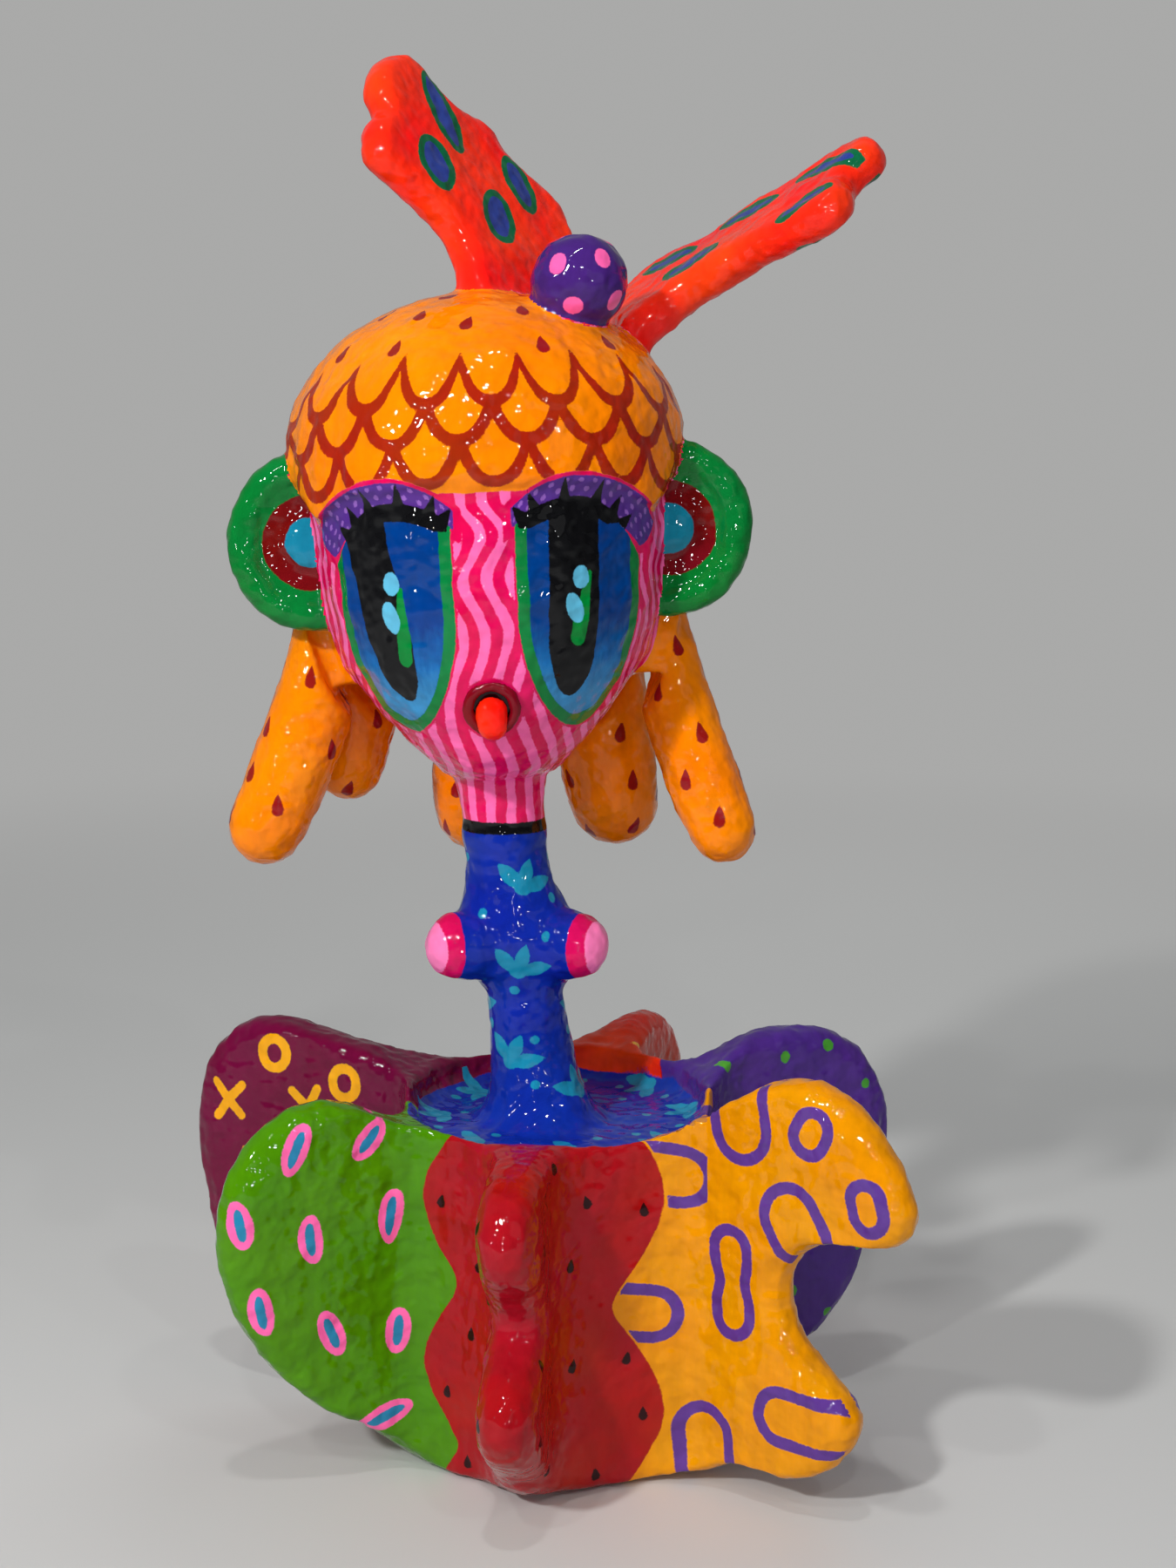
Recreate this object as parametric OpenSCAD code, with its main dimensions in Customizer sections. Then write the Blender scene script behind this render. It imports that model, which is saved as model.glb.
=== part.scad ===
// Alebrije figure in painted papier-mache (cartoneria).
// A drum-shaped foot with six thick petals carries a leaning torso with two side pods,
// a head with a cap of hair, five hanging locks, two rolled ears and a two-winged bow.
// Millimetres, +Z up. The origin is the centre of the drum's underside, and the face looks to -Y.

/* [Drum] */
// Outside radius of the drum's wall, under the petals
drum_r = 62; // [50:1:75]
// Thickness of the drum's wall and top
drum_wall = 4; // [3:0.5:7]
// Height of the drum's flat top, the floor of the dish
drum_h = 142; // [120:1:165]
// Height of the rolled lip round the dish floor
lip_h = 2.5; // [1:0.5:5]
// Thickness of the base disc that closes the drum
base_t = 8; // [5:0.5:12]

/* [Petals] */
// Reach of the longest petal beyond the drum's wall
petal_reach = 117; // [95:1:130]
// Thickness of a petal's blade
petal_t = 20; // [14:1:26]
// Thickness of the paper skin where a petal spreads over the drum's wall
skin_t = 4; // [2.5:0.5:6]
// Height of the petals' lower edges above the floor
foot_gap = 1.5; // [0.5:0.5:4]
// Thickness of the card board inside each petal
board_t = 5; // [3:0.5:7]
// Height of the tab that holds a board in the drum's wall
tab_h = 60; // [30:1:80]

/* [Torso] */
// Height of the torso from the dish floor to the neck collar
torso_h = 120; // [100:1:140]
// Distance that the torso leans to the left over its height
torso_lean = 15; // [5:1:20]
// Radius of the torso's waist
waist_r = 16.5; // [14:0.5:20]
// Radius of the torso's foot on the dish floor
torso_foot_r = 30; // [24:1:36]
// Half the width of the bulge that carries the pods
bulge_r = 26; // [22:1:30]
// Radius of a side pod
pod_r = 15.5; // [12:0.5:18]
// Distance from the torso's middle to the centre of a pod's round end
pod_reach = 27.5; // [22:0.5:34]
// Angle by which the pods point forwards
pod_turn = 25; // [10:1:40]
// Radius of the wooden post
post_r = 5; // [4:0.5:7]
// Radius of the wires inside the locks, wings and pods
wire_r = 1.5; // [1:0.25:2.5]

/* [Head] */
// Half the width of the face
head_r = 73; // [65:1:80]
// Radius of the neck
neck_r = 17.5; // [15:0.5:20]
// Height of the neck from the collar to the chin
neck_l = 26; // [20:1:35]
// Height of the neck collar
collar_h = 6; // [4:0.5:10]
// Sideways tilt of the head
head_tilt = 2.3; // [0:0.1:5]
// Thickness of the hair over the sides of the head
hair_t = 9; // [6:0.5:12]
// Distance by which the hair sits back, so that it is thinner over the brow
hair_back = 5; // [0:0.5:5]

/* [Ears] */
// Radius of the middle line of an ear's roll
ear_r = 27.5; // [24:0.5:34]
// Half the thickness of an ear's roll
roll_r = 7; // [6:0.5:10]
// Thickness of the pad inside an ear's roll
pad_t = 9; // [6:0.5:11]

/* [Mouth] */
// Radius of the middle line of the lips
lips_r = 9.4; // [8:0.1:10]
// Half the thickness of the lips
lip_r = 2.3; // [1.8:0.1:3]
// Half the width of the tongue
tongue_r = 6.5; // [5.5:0.1:6.8]

/* [Bow] */
// Length of the longer wing from its root inside the hair
wing_l = 130; // [100:1:150]
// Thickness of a wing
wing_t = 17; // [13:0.5:20]
// Radius of the knob between the wings
knob_r = 20.5; // [17:0.5:24]

/* [Hidden] */
// Line of paste between two pieces
glue = 0.25;
// Small overlap of a cut past the face that it opens
past = 1;

// The petals, anticlockwise from the front: azimuth of each blade from +X
petal_azimuths = [-99.5, -38, 22, 69, 158, 206];
// Thickness of each blade's edge as a share of petal_t; the front one is the thickest
blade_shares = [1.25, 1, 1, 1, 1, 1];

// Ribs of a petal, from its lower edge to its upper edge. Each rib grows out of the drum's wall:
// [height of its root as a share of the drum's height, and its reach beyond the wall and its rise
// to the tip as shares of petal_reach]
red_ribs = [[0, .045, 0], [.05, .19, .035], [.13, .36, .05], [.21, .495, .045], [.31, .555, .035],
    [.4, .52, .035], [.49, .4, .035], [.57, .315, .015], [.645, .385, .035], [.74, .515, .05],
    [.85, .54, .07], [.94, .445, .075], [1.01, .24, .045], [1.05, .045, 0]];
yellow_ribs = [[0, .045, 0], [.05, .34, .05], [.1, .545, -.01], [.155, .685, -.01],
    [.25, .78, .015], [.34, .75, .015], [.43, .63, .01], [.535, .53, -.01], [.635, .495, .01],
    [.72, .53, .015], [.78, .65, .035], [.81, .855, .025], [.84, .94, .025], [.885, .975, .07],
    [.935, .905, .17], [.975, .785, .265], [1.005, .615, .315], [1.025, .41, .255],
    [1.04, .19, .095], [1.05, .045, 0]];
purple_ribs = [[0, .045, 0], [.05, .255, .07], [.12, .53, .07], [.24, .66, .05], [.38, .75, .06],
    [.52, .81, .075], [.7, .855, .17], [.82, .82, .19], [.93, .72, .23], [1, .53, .24],
    [1.04, .31, .195], [1.08, .135, .105], [1.1, .045, 0]];
orange_ribs = [[0, .045, 0], [.05, .255, .05], [.13, .515, .07], [.28, .7, .085],
    [.45, .785, .105], [.62, .795, .155], [.78, .72, .22], [.9, .545, .255], [1, .34, .19],
    [1.06, .17, .11], [1.1, .045, 0]];
maroon_ribs = [[0, .045, 0], [.05, .255, .05], [.12, .515, .07], [.22, .75, .07],
    [.34, .895, .085], [.48, .965, .135], [.62, 1, .19], [.75, .985, .255], [.86, .905, .31],
    [.94, .735, .325], [1, .53, .255], [1.04, .325, .155], [1.08, .155, .07], [1.1, .045, 0]];
green_ribs = [[0, .045, 0], [.05, .17, .06], [.13, .435, .11], [.26, .625, .155], [.41, .745, .19],
    [.57, .785, .215], [.72, .735, .275], [.87, .605, .265], [.97, .395, .215], [1.02, .19, .085],
    [1.05, .045, 0]];
petal_ribs = [for (ribs = [red_ribs, yellow_ribs, purple_ribs, orange_ribs, maroon_ribs, green_ribs])
    [for (rib = ribs) [rib[0], rib[1]*petal_reach, rib[2]*petal_reach]]];
petal_count = len(petal_ribs);
// Steps between two ribs, and corners of a petal's section on each side of the blade
rib_steps = 2;
side_corners = 6;
// Angle between the drum's radius and a petal's edge past which two petals would touch
seam = 0.25;
// Steepest turn at which a petal's sweep leaves the wall
steepest = 32;
// Paper between a board's edge and the edge of its blade
board_margin = 13;

// Sections of the torso, from the dish to the collar:
// [share of the height, half width, half depth]
torso_rows = [[0, torso_foot_r, torso_foot_r], [.035, torso_foot_r*.83, torso_foot_r*.83],
    [.1, waist_r*1.27, waist_r*1.27], [.2, waist_r*1.1, waist_r*1.1], [.34, waist_r, waist_r],
    [.46, waist_r, waist_r], [.53, bulge_r*.85, waist_r*1.1], [.6, bulge_r, waist_r*1.24],
    [.68, bulge_r, waist_r*1.24], [.76, bulge_r*.9, waist_r*1.15], [.84, neck_r*1.1, neck_r*1.04],
    [.91, neck_r, neck_r], [1, neck_r, neck_r]];
foot_x = -torso_lean/2;
neck_x = foot_x - torso_lean;
neck_z = drum_h + glue + torso_h;
pod_share = 0.64;
pod_seat = pod_reach - pod_r/2;
post_socket = 5;
post_lean = atan2(torso_lean, torso_h);
post_top = 46;

// Sections of the head, in units of head_r about its centre:
// [height, half width, depth to the front, depth to the back]
head_rows = [[-1.66, .315, .45, .33], [-1.59, .385, .575, .41], [-1.48, .49, .685, .52],
    [-1.23, .71, .82, .71], [-.99, .88, .9, .85], [-.66, .965, .96, .945], [-.3, 1, .985, 1],
    [0, 1.007, .985, 1.027], [.27, 1.01, .97, 1.02], [.45, .955, .92, .97], [.6, .85, .82, .86],
    [.74, .69, .67, .7], [.85, .49, .48, .51], [.92, .29, .29, .31], [.95, .11, .11, .12]];
head_corners = 28;
head_z = neck_l + 1.7*head_r;
// The hair's lower edge: height over the brow, at the temples and at the nape, from the head's centre
brow_z = -0.01*head_r;
temple_z = -.18*head_r;
nape_z = -1.13*head_r;
temple_x = .93*head_r;
hair_front_y = .06*head_r;

// Locks: [name, azimuth at the root, azimuth at the tip], and as shares of head_r the reach of the
// tip beyond the head, its drop below the head's centre, and the lock's radius
locks = [["lock_outer_left", 168, 175, .397, 1.945, .247], ["lock_back_left", 144, 146, .151, 1.658, .24],
    ["lock_back", 99, 102, .014, 2.014, .288], ["lock_back_right", 57, 53, .082, 1.973, .308],
    ["lock_outer_right", 20, 5, .274, 2.068, .219]];
lock_root = .95;
lock_root_drop = .62;
lock_sides = 12;
lock_steps = 6;

// Outline of each wing in its own plane, from the front of its root over the tip to the back:
// [distance back, height along the wing] as shares of wing_l
left_outline = [[-.19, 0], [-.16, .17], [-.1, .27], [-.08, .36], [-.11, .455], [-.155, .54],
    [-.2, .61], [-.21, .675], [-.16, .745], [-.1, .77], [-.06, .79], [-.04, .855], [.03, .915],
    [.125, .94], [.2, .91], [.23, .84], [.245, .76], [.285, .69], [.345, .66], [.385, .61],
    [.385, .54], [.385, .485], [.415, .425], [.455, .36], [.485, .29], [.46, .2], [.4, 0]];
right_outline = [[.03, 0], [.045, .17], [.04, .26], [-.015, .355], [-.06, .445], [-.155, .555],
    [-.24, .645], [-.27, .73], [-.215, .81], [-.13, .84], [-.1, .885], [-.085, .955], [-.015, 1],
    [.06, .97], [.125, .89], [.155, .81], [.19, .715], [.255, .64], [.29, .54], [.315, .445],
    [.39, .385], [.46, .325], [.49, .23], [.46, .115], [.43, 0]];
// Rounding of a wing's edge: [share of half the thickness, distance in from the outline]
wing_edge = [[1, .325*wing_t], [.78, .125*wing_t], [.3, 0]];
// Place of each wing's root from the head's centre, its lean from vertical and its twist
left_wing = [head_r*[.233, .11, .877], -30, -36, left_outline];
right_wing = [head_r*[.836, .055, .712], 53.5, 16.5, right_outline];
wing_wire_l = .54*wing_l;
wing_wire_root = .17*wing_l;
wing_wire_y = .17*wing_l;
knob_at = head_r*[.562, -.288, 1.068];

// Ear: its centre from the head's centre, and the arc of its roll from the top to the cheek
ear_at = head_r*[1.01, -.11, -.295];
ear_from = 82;
ear_to = -92;
ear_steps = 12;
ear_stretch = 1.1;
peg_r = 2;
peg_l = 40;
mouth_z = -1.2*head_r;
mouth_pitch = 16;

// ---------- shared shapes ----------

function mix(a, b, t) = a + (b - a)*t;

// A smooth curve through rows of numbers, with a number of steps between two rows
function smooth_rows(rows, steps) = let (last = len(rows) - 1) [
    for (k = [0:last - 1], s = [0:steps - 1]) let (
        t = s/steps,
        a = rows[max(k - 1, 0)], b = rows[k], c = rows[k + 1], d = rows[min(k + 2, last)])
        b + 0.5*t*((c - a) + t*((2*a - 5*b + 4*c - d) + t*(3*(b - c) + d - a))),
    rows[last]];

// A closed skin through loops of points, each with the same number of corners
module loft(loops) {
    n = len(loops[0]);
    last = len(loops) - 1;
    polyhedron([for (loop = loops) each loop], concat(
        [for (k = [0:last - 1], i = [0:n - 1]) let (
            a = k*n + i, b = k*n + (i + 1)%n, c = a + n, d = b + n) each [[a, c, d], [a, d, b]]],
        [[for (i = [0:n - 1]) i]], [[for (i = [n - 1:-1:0]) last*n + i]]));
}

// Convex slices between loops of points. A core inside each two neighbours fuses them.
module slices(loops) {
    last = len(loops) - 1;
    for (k = [0:last - 1]) slice(loops[k], loops[k + 1]);
    for (k = [1:last - 1]) slice(core_loop(loops[k], loops[k - 1]), core_loop(loops[k], loops[k + 1]));
}

module slice(a, b) {
    hull() polyhedron(concat(a, b), [[for (i = [0:len(a) + len(b) - 1]) i]]);
}

// A loop a little way from one loop to the next, drawn in to four fifths of its size
function core_loop(loop, next) = let (
    moved = mix(loop, next, .25),
    middle = sum(moved)/len(moved))
    [for (p = moved) mix(middle, p, .8)];

function sum(points) = [for (p = points) 1]*points;

// A round limb along a path of [x, y, z, radius], with rounded ends
function limb_ring(at, along, r, sides) = let (
    side = cross(along, [0, 1, 0])/norm(cross(along, [0, 1, 0])),
    other = cross(along, side)/norm(along))
    [for (i = [0:sides - 1]) at + r*(cos(360*i/sides)*side + sin(360*i/sides)*other)];

function place(row) = [row[0], row[1], row[2]];

module limb(path, sides) {
    last = len(path) - 1;
    heading = [for (k = [0:last]) place(path[min(k + 1, last)]) - place(path[max(k - 1, 0)])];
    ahead = heading[last]/norm(heading[last]);
    tip = path[last];
    loft(concat(
        [for (k = [0:last]) limb_ring(place(path[k]), heading[k], path[k][3], sides)],
        [for (a = [30, 58, 80])
            limb_ring(place(tip) + ahead*tip[3]*sin(a), ahead, tip[3]*cos(a), sides)]));
}

// ---------- drum ----------

module base_disc() {
    color("burlywood") difference() {
        cylinder(h = base_t, r = drum_r - drum_wall - glue, $fn = 72);
        post_bore(post_r + glue/2);
    }
}

module drum() {
    inner = drum_r - drum_wall;
    color("royalblue") difference() {
        rotate_extrude($fn = 72) polygon([[inner, 0], [drum_r, 0], [drum_r, drum_h],
            [drum_r - 1, drum_h + lip_h], [inner, drum_h + lip_h], [inner - lip_h, drum_h],
            [0, drum_h], [0, drum_h - drum_wall], [inner, drum_h - drum_wall]]);
        post_bore(post_r + glue);
        for (k = [0:petal_count - 1]) rotate(petal_azimuths[k])
            translate([inner - past, -board_t/2 - glue, tab_z() - glue])
            cube([drum_wall + 2*past, board_t + 2*glue, tab_h + 2*glue]);
    }
}

function tab_z() = (drum_h - tab_h)/2;

// The post's line runs from the base disc up to the neck
module on_post_line() {
    translate([foot_x, 0, drum_h + glue]) rotate([0, -post_lean, 0]) children();
}

function post_drop() = (drum_h + glue - base_t + post_socket)/cos(post_lean);
function post_rise() = torso_h/cos(post_lean) + post_top;

module post_bore(r) {
    on_post_line() translate([0, 0, -post_drop() - glue])
        cylinder(h = post_drop() + post_rise() + 2*glue, r = r, $fn = 32);
}

module post() {
    color("tan") on_post_line() translate([0, 0, -post_drop()])
        cylinder(h = post_drop() + post_rise(), r = post_r, $fn = 32);
}

// ---------- petals ----------

// Angles from a petal's blade to the seams with its neighbours
function turn_to(from, to) = ((to - from)%360 + 360)%360;
function left_seam(k) = turn_to(petal_azimuths[k], petal_azimuths[(k + 1)%petal_count])/2 - seam;
function right_seam(k) =
    turn_to(petal_azimuths[(k + petal_count - 1)%petal_count], petal_azimuths[k])/2 - seam;

function rib_z(share) = mix(foot_gap, drum_h, share);

// One side of a petal's section, from the seam to the blade's tip: [x, y] in the section's plane.
// A short rib only follows the drum's wall; a long one sweeps from the wall into the blade.
function side_points(angle, reach, half) = let (
    edge = drum_r + glue + skin_t,
    sweep = 2*(edge*sin(angle) - half)*tan(min(angle, steepest)),
    shortest = sweep + half - (drum_r - edge*cos(angle)),
    long_reach = max(reach, shortest),
    blade = min(1, max(0, (reach - skin_t - glue)/(shortest - skin_t - glue))),
    tip = drum_r + long_reach - half,
    wall = [for (j = [0:side_corners]) let (a = angle*(1 - j/side_corners),
        r = edge + max(0, reach - skin_t - glue)*pow(j/side_corners, 3)) [r*cos(a), r*sin(a)]],
    full = [
        for (u = [0, 1/3, 2/3, 1]) [edge*cos(angle) + sweep*u, mix(half, edge*sin(angle), pow(1 - u, 2))],
        [tip, half], [tip + half*cos(40), half*sin(40)], [tip + half, 0]])
    [for (j = [0:side_corners]) mix(wall[j], full[j], blade)];

// The outer corners of a rib's section, from one seam to the other, lifted along the rib's rise
function rib_outer(rib, left, right, half) = let (
    z = rib_z(rib[0]),
    a = side_points(left, rib[1], half),
    b = side_points(right, rib[1], half),
    line = concat(a, [for (j = [side_corners - 1:-1:0]) [b[j][0], -b[j][1]]]),
    far = a[side_corners][0])
    [for (p = line) [p[0], p[1], z + rib[2]*min(1, max(0, (p[0] - drum_r)/(far - drum_r)))]];

// The inner corners, on the drum's wall: one for every second outer corner
function rib_inner(rib, left, right) = let (
    r = (drum_r + glue)/cos((left + right)/(2*side_corners)))
    [for (i = [0:side_corners]) let (a = mix(left, -right, i/side_corners))
        [r*cos(a), r*sin(a), rib_z(rib[0])]];

module petal_body(k) {
    ribs = smooth_rows(petal_ribs[k], rib_steps);
    n = side_corners;
    wide = 2*n + 1;
    ring = wide + n + 1;
    last = len(ribs) - 1;
    function out(row, j) = row*ring + j;
    function in(row, i) = row*ring + wide + i;
    rotate(petal_azimuths[k]) polyhedron(
        [for (rib = ribs) each concat(rib_outer(rib, left_seam(k), right_seam(k), petal_t/2*blade_shares[k]),
            rib_inner(rib, left_seam(k), right_seam(k)))],
        concat(
            [for (r = [0:last - 1], j = [0:wide - 2])
                each [[out(r, j), out(r + 1, j + 1), out(r + 1, j)],
                    [out(r, j), out(r, j + 1), out(r + 1, j + 1)]]],
            [for (r = [0:last - 1], i = [0:n - 1])
                each [[in(r, i), in(r + 1, i + 1), in(r, i + 1)], [in(r, i), in(r + 1, i), in(r + 1, i + 1)]]],
            [for (r = [0:last - 1])
                each [[out(r, 0), in(r + 1, 0), in(r, 0)], [out(r, 0), out(r + 1, 0), in(r + 1, 0)],
                    [out(r, 2*n), in(r + 1, n), out(r + 1, 2*n)], [out(r, 2*n), in(r, n), in(r + 1, n)]]],
            [for (i = [0:n - 1])
                each [[out(0, 2*i), in(0, i), out(0, 2*i + 1)], [out(0, 2*i + 1), in(0, i), in(0, i + 1)],
                    [out(0, 2*i + 1), in(0, i + 1), out(0, 2*i + 2)]]],
            [for (i = [0:n - 1])
                each [[out(last, 2*i), out(last, 2*i + 1), in(last, i)],
                    [out(last, 2*i + 1), in(last, i + 1), in(last, i)],
                    [out(last, 2*i + 1), out(last, 2*i + 2), in(last, i + 1)]]]));
}

// The card core of a petal: its outline keeps a margin inside the blade, and its tab passes
// through the slot in the drum's wall
module board_shape(k, grow) {
    ribs = petal_ribs[k];
    wall = drum_r + glue;
    rotate([90, 0, 0]) translate([0, 0, -board_t/2 - grow]) linear_extrude(board_t + 2*grow) {
        intersection() {
            offset(delta = grow - board_margin) polygon(concat([[0, rib_z(0)]],
                [for (rib = ribs) [drum_r + rib[1], rib_z(rib[0]) + rib[2]]], [[0, drum_h]]));
            translate([wall - (grow > 0 ? past : 0), 0]) square(3*drum_r);
        }
    }
}

module board(k) {
    rotate(petal_azimuths[k]) {
        board_shape(k, 0);
        translate([drum_r - drum_wall - 2, -board_t/2, tab_z()])
            cube([drum_wall + 2 + 2*glue, board_t, tab_h]);
    }
}

module petal(k) {
    difference() {
        petal_body(k);
        rotate(petal_azimuths[k]) board_shape(k, glue);
    }
}

module petal_red() { color("firebrick") petal(0); }
module petal_yellow() { color("orange") petal(1); }
module petal_purple() { color("rebeccapurple") petal(2); }
module petal_orange() { color("orangered") petal(3); }
module petal_maroon() { color("maroon") petal(4); }
module petal_green() { color("olivedrab") petal(5); }
module board_red() { color("peru") board(0); }
module board_yellow() { color("peru") board(1); }
module board_purple() { color("peru") board(2); }
module board_orange() { color("peru") board(3); }
module board_maroon() { color("peru") board(4); }
module board_green() { color("peru") board(5); }

// ---------- torso ----------

torso_corners = 20;

function torso_ring(row, grow) = let (
    share = row[0],
    x = foot_x - torso_lean*share,
    tilt = head_tilt*share)
    [for (i = [0:torso_corners - 1]) let (a = 360*i/torso_corners,
        dx = (row[1] + grow)*cos(a))
        [x + dx, (row[2] + grow)*sin(a), drum_h + glue + torso_h*share + dx*sin(tilt)]];

module torso_form(grow) {
    slices([for (row = torso_rows) torso_ring(row, grow)]);
    for (side = [-1, 1]) pod_axis(side) slices([for (row = [[0, 1.12], [.55, 1.1], [.85, 1], [1, .97]])
        [for (i = [0:torso_corners - 1]) let (a = 360*i/torso_corners)
            [pod_r*row[1]*cos(a), pod_r*row[1]*sin(a), pod_seat*row[0]]]]);
}

function pod_centre() = [foot_x - torso_lean*pod_share, 0, drum_h + glue + torso_h*pod_share];

module pod_axis(side) {
    translate(pod_centre()) rotate([0, 90, side > 0 ? -pod_turn : 180 + pod_turn]) children();
}

module torso() {
    color("mediumblue") difference() {
        torso_form(0);
        post_bore(post_r + glue);
        for (side = [-1, 1]) pod_axis(side) cylinder(h = bulge_r*2, r = wire_r + glue, $fn = 12);
    }
}

// A pod is a cap on its stub, with a short rim and a round end, hollowed to fit the bulge
module pod(side) {
    round_r = pod_r*.93;
    difference() {
        pod_axis(side) rotate_extrude($fn = 30) polygon(concat([[0, pod_seat + glue],
            [pod_r*.97, pod_seat + glue], [pod_r, pod_seat + (pod_reach - pod_seat)*.4]],
            [for (a = [0:18:90]) [round_r*cos(a), pod_reach + round_r*sin(a)]]));
        torso_form(glue);
        pod_axis(side) cylinder(h = pod_reach + glue, r = wire_r + glue, $fn = 12);
    }
}

module pod_left() { color("deeppink") pod(-1); }
module pod_right() { color("deeppink") pod(1); }

// One wire on each side of the post, into the pods
module pod_wire() {
    color("silver") for (side = [-1, 1]) pod_axis(side)
        translate([0, 0, post_r + wire_r + 2*glue])
        cylinder(h = pod_reach - post_r - wire_r - 3*glue, r = wire_r, $fn = 12);
}

// ---------- head ----------

module at_neck() { translate([neck_x, 0, neck_z]) rotate([0, -head_tilt, 0]) children(); }
module at_head() { at_neck() translate([0, 0, head_z]) children(); }

module neck_collar() {
    color("#181818") difference() {
        at_neck() translate([0, 0, glue]) cylinder(h = collar_h - glue, r = neck_r + .5, $fn = 48);
        post_bore(post_r + glue);
    }
}

function head_ring(row) = [for (i = [0:head_corners - 1]) let (a = 360*i/head_corners)
    head_r*[row[1]*cos(a), (sin(a) < 0 ? row[2] : row[3])*sin(a), row[0]]];

// The head above the neck, grown all round by a thickness
module skull(grow) {
    scale((head_r + grow)/head_r) slices([for (row = head_rows) head_ring(row)]);
}

module neck_form(grow) {
    slices([for (row = [[0, 1, 1], [.7, 1.06, 1.12], [1.25, 1.2, 1.4]])
        [for (i = [0:torso_corners - 1]) let (a = 360*i/torso_corners)
            [(neck_r + grow)*row[1]*cos(a), (neck_r + grow)*row[2]*sin(a),
                collar_h + glue - head_z + (neck_l - collar_h)*row[0]]]]);
}

module head() {
    color("crimson") difference() {
        at_head() {
            skull(0);
            neck_form(0);
        }
        post_bore(post_r + glue);
        at_head() {
            for (side = [-1, 1]) ear_peg(side, glue);
            for (k = [0:len(locks) - 1]) lock_wire(k, glue);
            wing_wire(left_wing, glue);
            wing_wire(right_wing, glue);
        }
    }
}

// Everything below the hair's edge in front of the ears, and below the nape behind them
module hairline_cut() {
    wide = 3*head_r;
    deep = 3*head_r;
    ear_z = temple_z + .37*head_r;
    rotate([90, 0, 0]) translate([0, 0, -hair_front_y]) linear_extrude(deep)
        polygon([[-wide, -wide], [-wide, ear_z], [-temple_x*1.25, ear_z],
            [-temple_x, temple_z], [-temple_x*.82, brow_z - .04*head_r], [-temple_x*.4, brow_z],
            [temple_x*.4, brow_z], [temple_x*.82, brow_z - .04*head_r], [temple_x, temple_z],
            [temple_x*1.25, ear_z], [wide, ear_z], [wide, -wide]]);
    translate([-wide, -wide, nape_z - deep]) cube([2*wide, 2*wide, deep]);
}

// The outside of the hair before its lower edge is cut
module hair_form(grow) {
    translate([0, hair_back, 0]) skull(hair_t + grow);
}

module hair_cap() {
    color("orange") at_head() difference() {
        hair_form(0);
        skull(glue);
        hairline_cut();
        for (k = [0:len(locks) - 1]) lock_wire(k, glue);
        wing_wire(left_wing, glue);
        wing_wire(right_wing, glue);
    }
}

// Centre line of a lock: a gentle swing from its root inside the hair out to its tip
function lock_point(lock, t) = let (
    azimuth = mix(lock[1], lock[2], t),
    out = mix(lock_root, 1 + lock[3], pow(t, 1.5)),
    down = mix(lock_root_drop, lock[4], t))
    head_r*[out*cos(azimuth), out*sin(azimuth), -down];

module lock(k) {
    row = locks[k];
    at_head() difference() {
        limb([for (s = [0:lock_steps]) let (t = s/lock_steps)
            concat(lock_point(row, t), head_r*row[5]*(.88 + .3*t - .22*t*t*t))], lock_sides);
        hair_form(glue);
        lock_wire(k, glue);
    }
}

// A wire from inside the hair down the middle of a lock
module lock_wire(k, grow) {
    rod(lock_point(locks[k], .12), lock_point(locks[k], .75), wire_r + grow, grow);
}

module rod(from, to, r, longer) {
    run = to - from;
    length = norm(run);
    translate(from) rotate([0, acos(run[2]/length), atan2(run[1], run[0])])
        translate([0, 0, -longer]) cylinder(h = length + 2*longer, r = r, $fn = 12);
}

module lock_outer_left() { color("orange") lock(0); }
module lock_back_left() { color("orange") lock(1); }
module lock_back() { color("orange") lock(2); }
module lock_back_right() { color("orange") lock(3); }
module lock_outer_right() { color("orange") lock(4); }
module lock_wires() { color("silver") at_head() for (k = [0:len(locks) - 1]) lock_wire(k, 0); }

// ---------- ears ----------

module at_ear(side) {
    translate([side*ear_at[0], ear_at[1], ear_at[2]]) scale([side, 1, 1]) children();
}

// The roll bends round the ear's centre, a little higher than wide and thickest in the middle
module roll_form(grow) {
    limb([for (s = [0:ear_steps]) let (a = mix(ear_from, ear_to, s/ear_steps))
        [ear_r*cos(a), 0, ear_r*ear_stretch*sin(a), roll_r*(1 + .12*cos(a)) + grow]], 12);
}

module ear_roll(side) {
    at_head() difference() {
        at_ear(side) roll_form(0);
        skull(glue);
        difference() {
            hair_form(glue);
            hairline_cut();
        }
        ear_peg(side, glue);
    }
}

// The pad fills the roll, with a low boss in its middle
module ear_pad(side) {
    at_head() difference() {
        at_ear(side) scale([1, 1, ear_stretch]) rotate([90, 0, 0]) rotate_extrude($fn = 28)
            polygon([[0, -pad_t/2], [ear_r, -pad_t/2], [ear_r, pad_t*.4], [ear_r*.62, pad_t*.4],
                [ear_r*.42, pad_t*.3], [ear_r*.34, pad_t*.5], [ear_r*.18, pad_t*.72], [0, pad_t*.78]]);
        skull(glue);
        difference() {
            hair_form(glue);
            hairline_cut();
        }
        at_ear(side) roll_form(glue);
        ear_peg(side, glue);
    }
}

module ear_peg(side, grow) {
    at_ear(side) rotate([0, 90, 0]) translate([0, 0, -peg_l/2 - grow])
        cylinder(h = peg_l + 2*grow, r = peg_r + grow, $fn = 12);
}

module ear_roll_left() { color("forestgreen") ear_roll(-1); }
module ear_roll_right() { color("forestgreen") ear_roll(1); }
module ear_pad_left() { color("darkred") ear_pad(-1); }
module ear_pad_right() { color("darkred") ear_pad(1); }
module ear_pegs() { color("tan") at_head() for (side = [-1, 1]) ear_peg(side, 0); }

// ---------- mouth ----------

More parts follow.
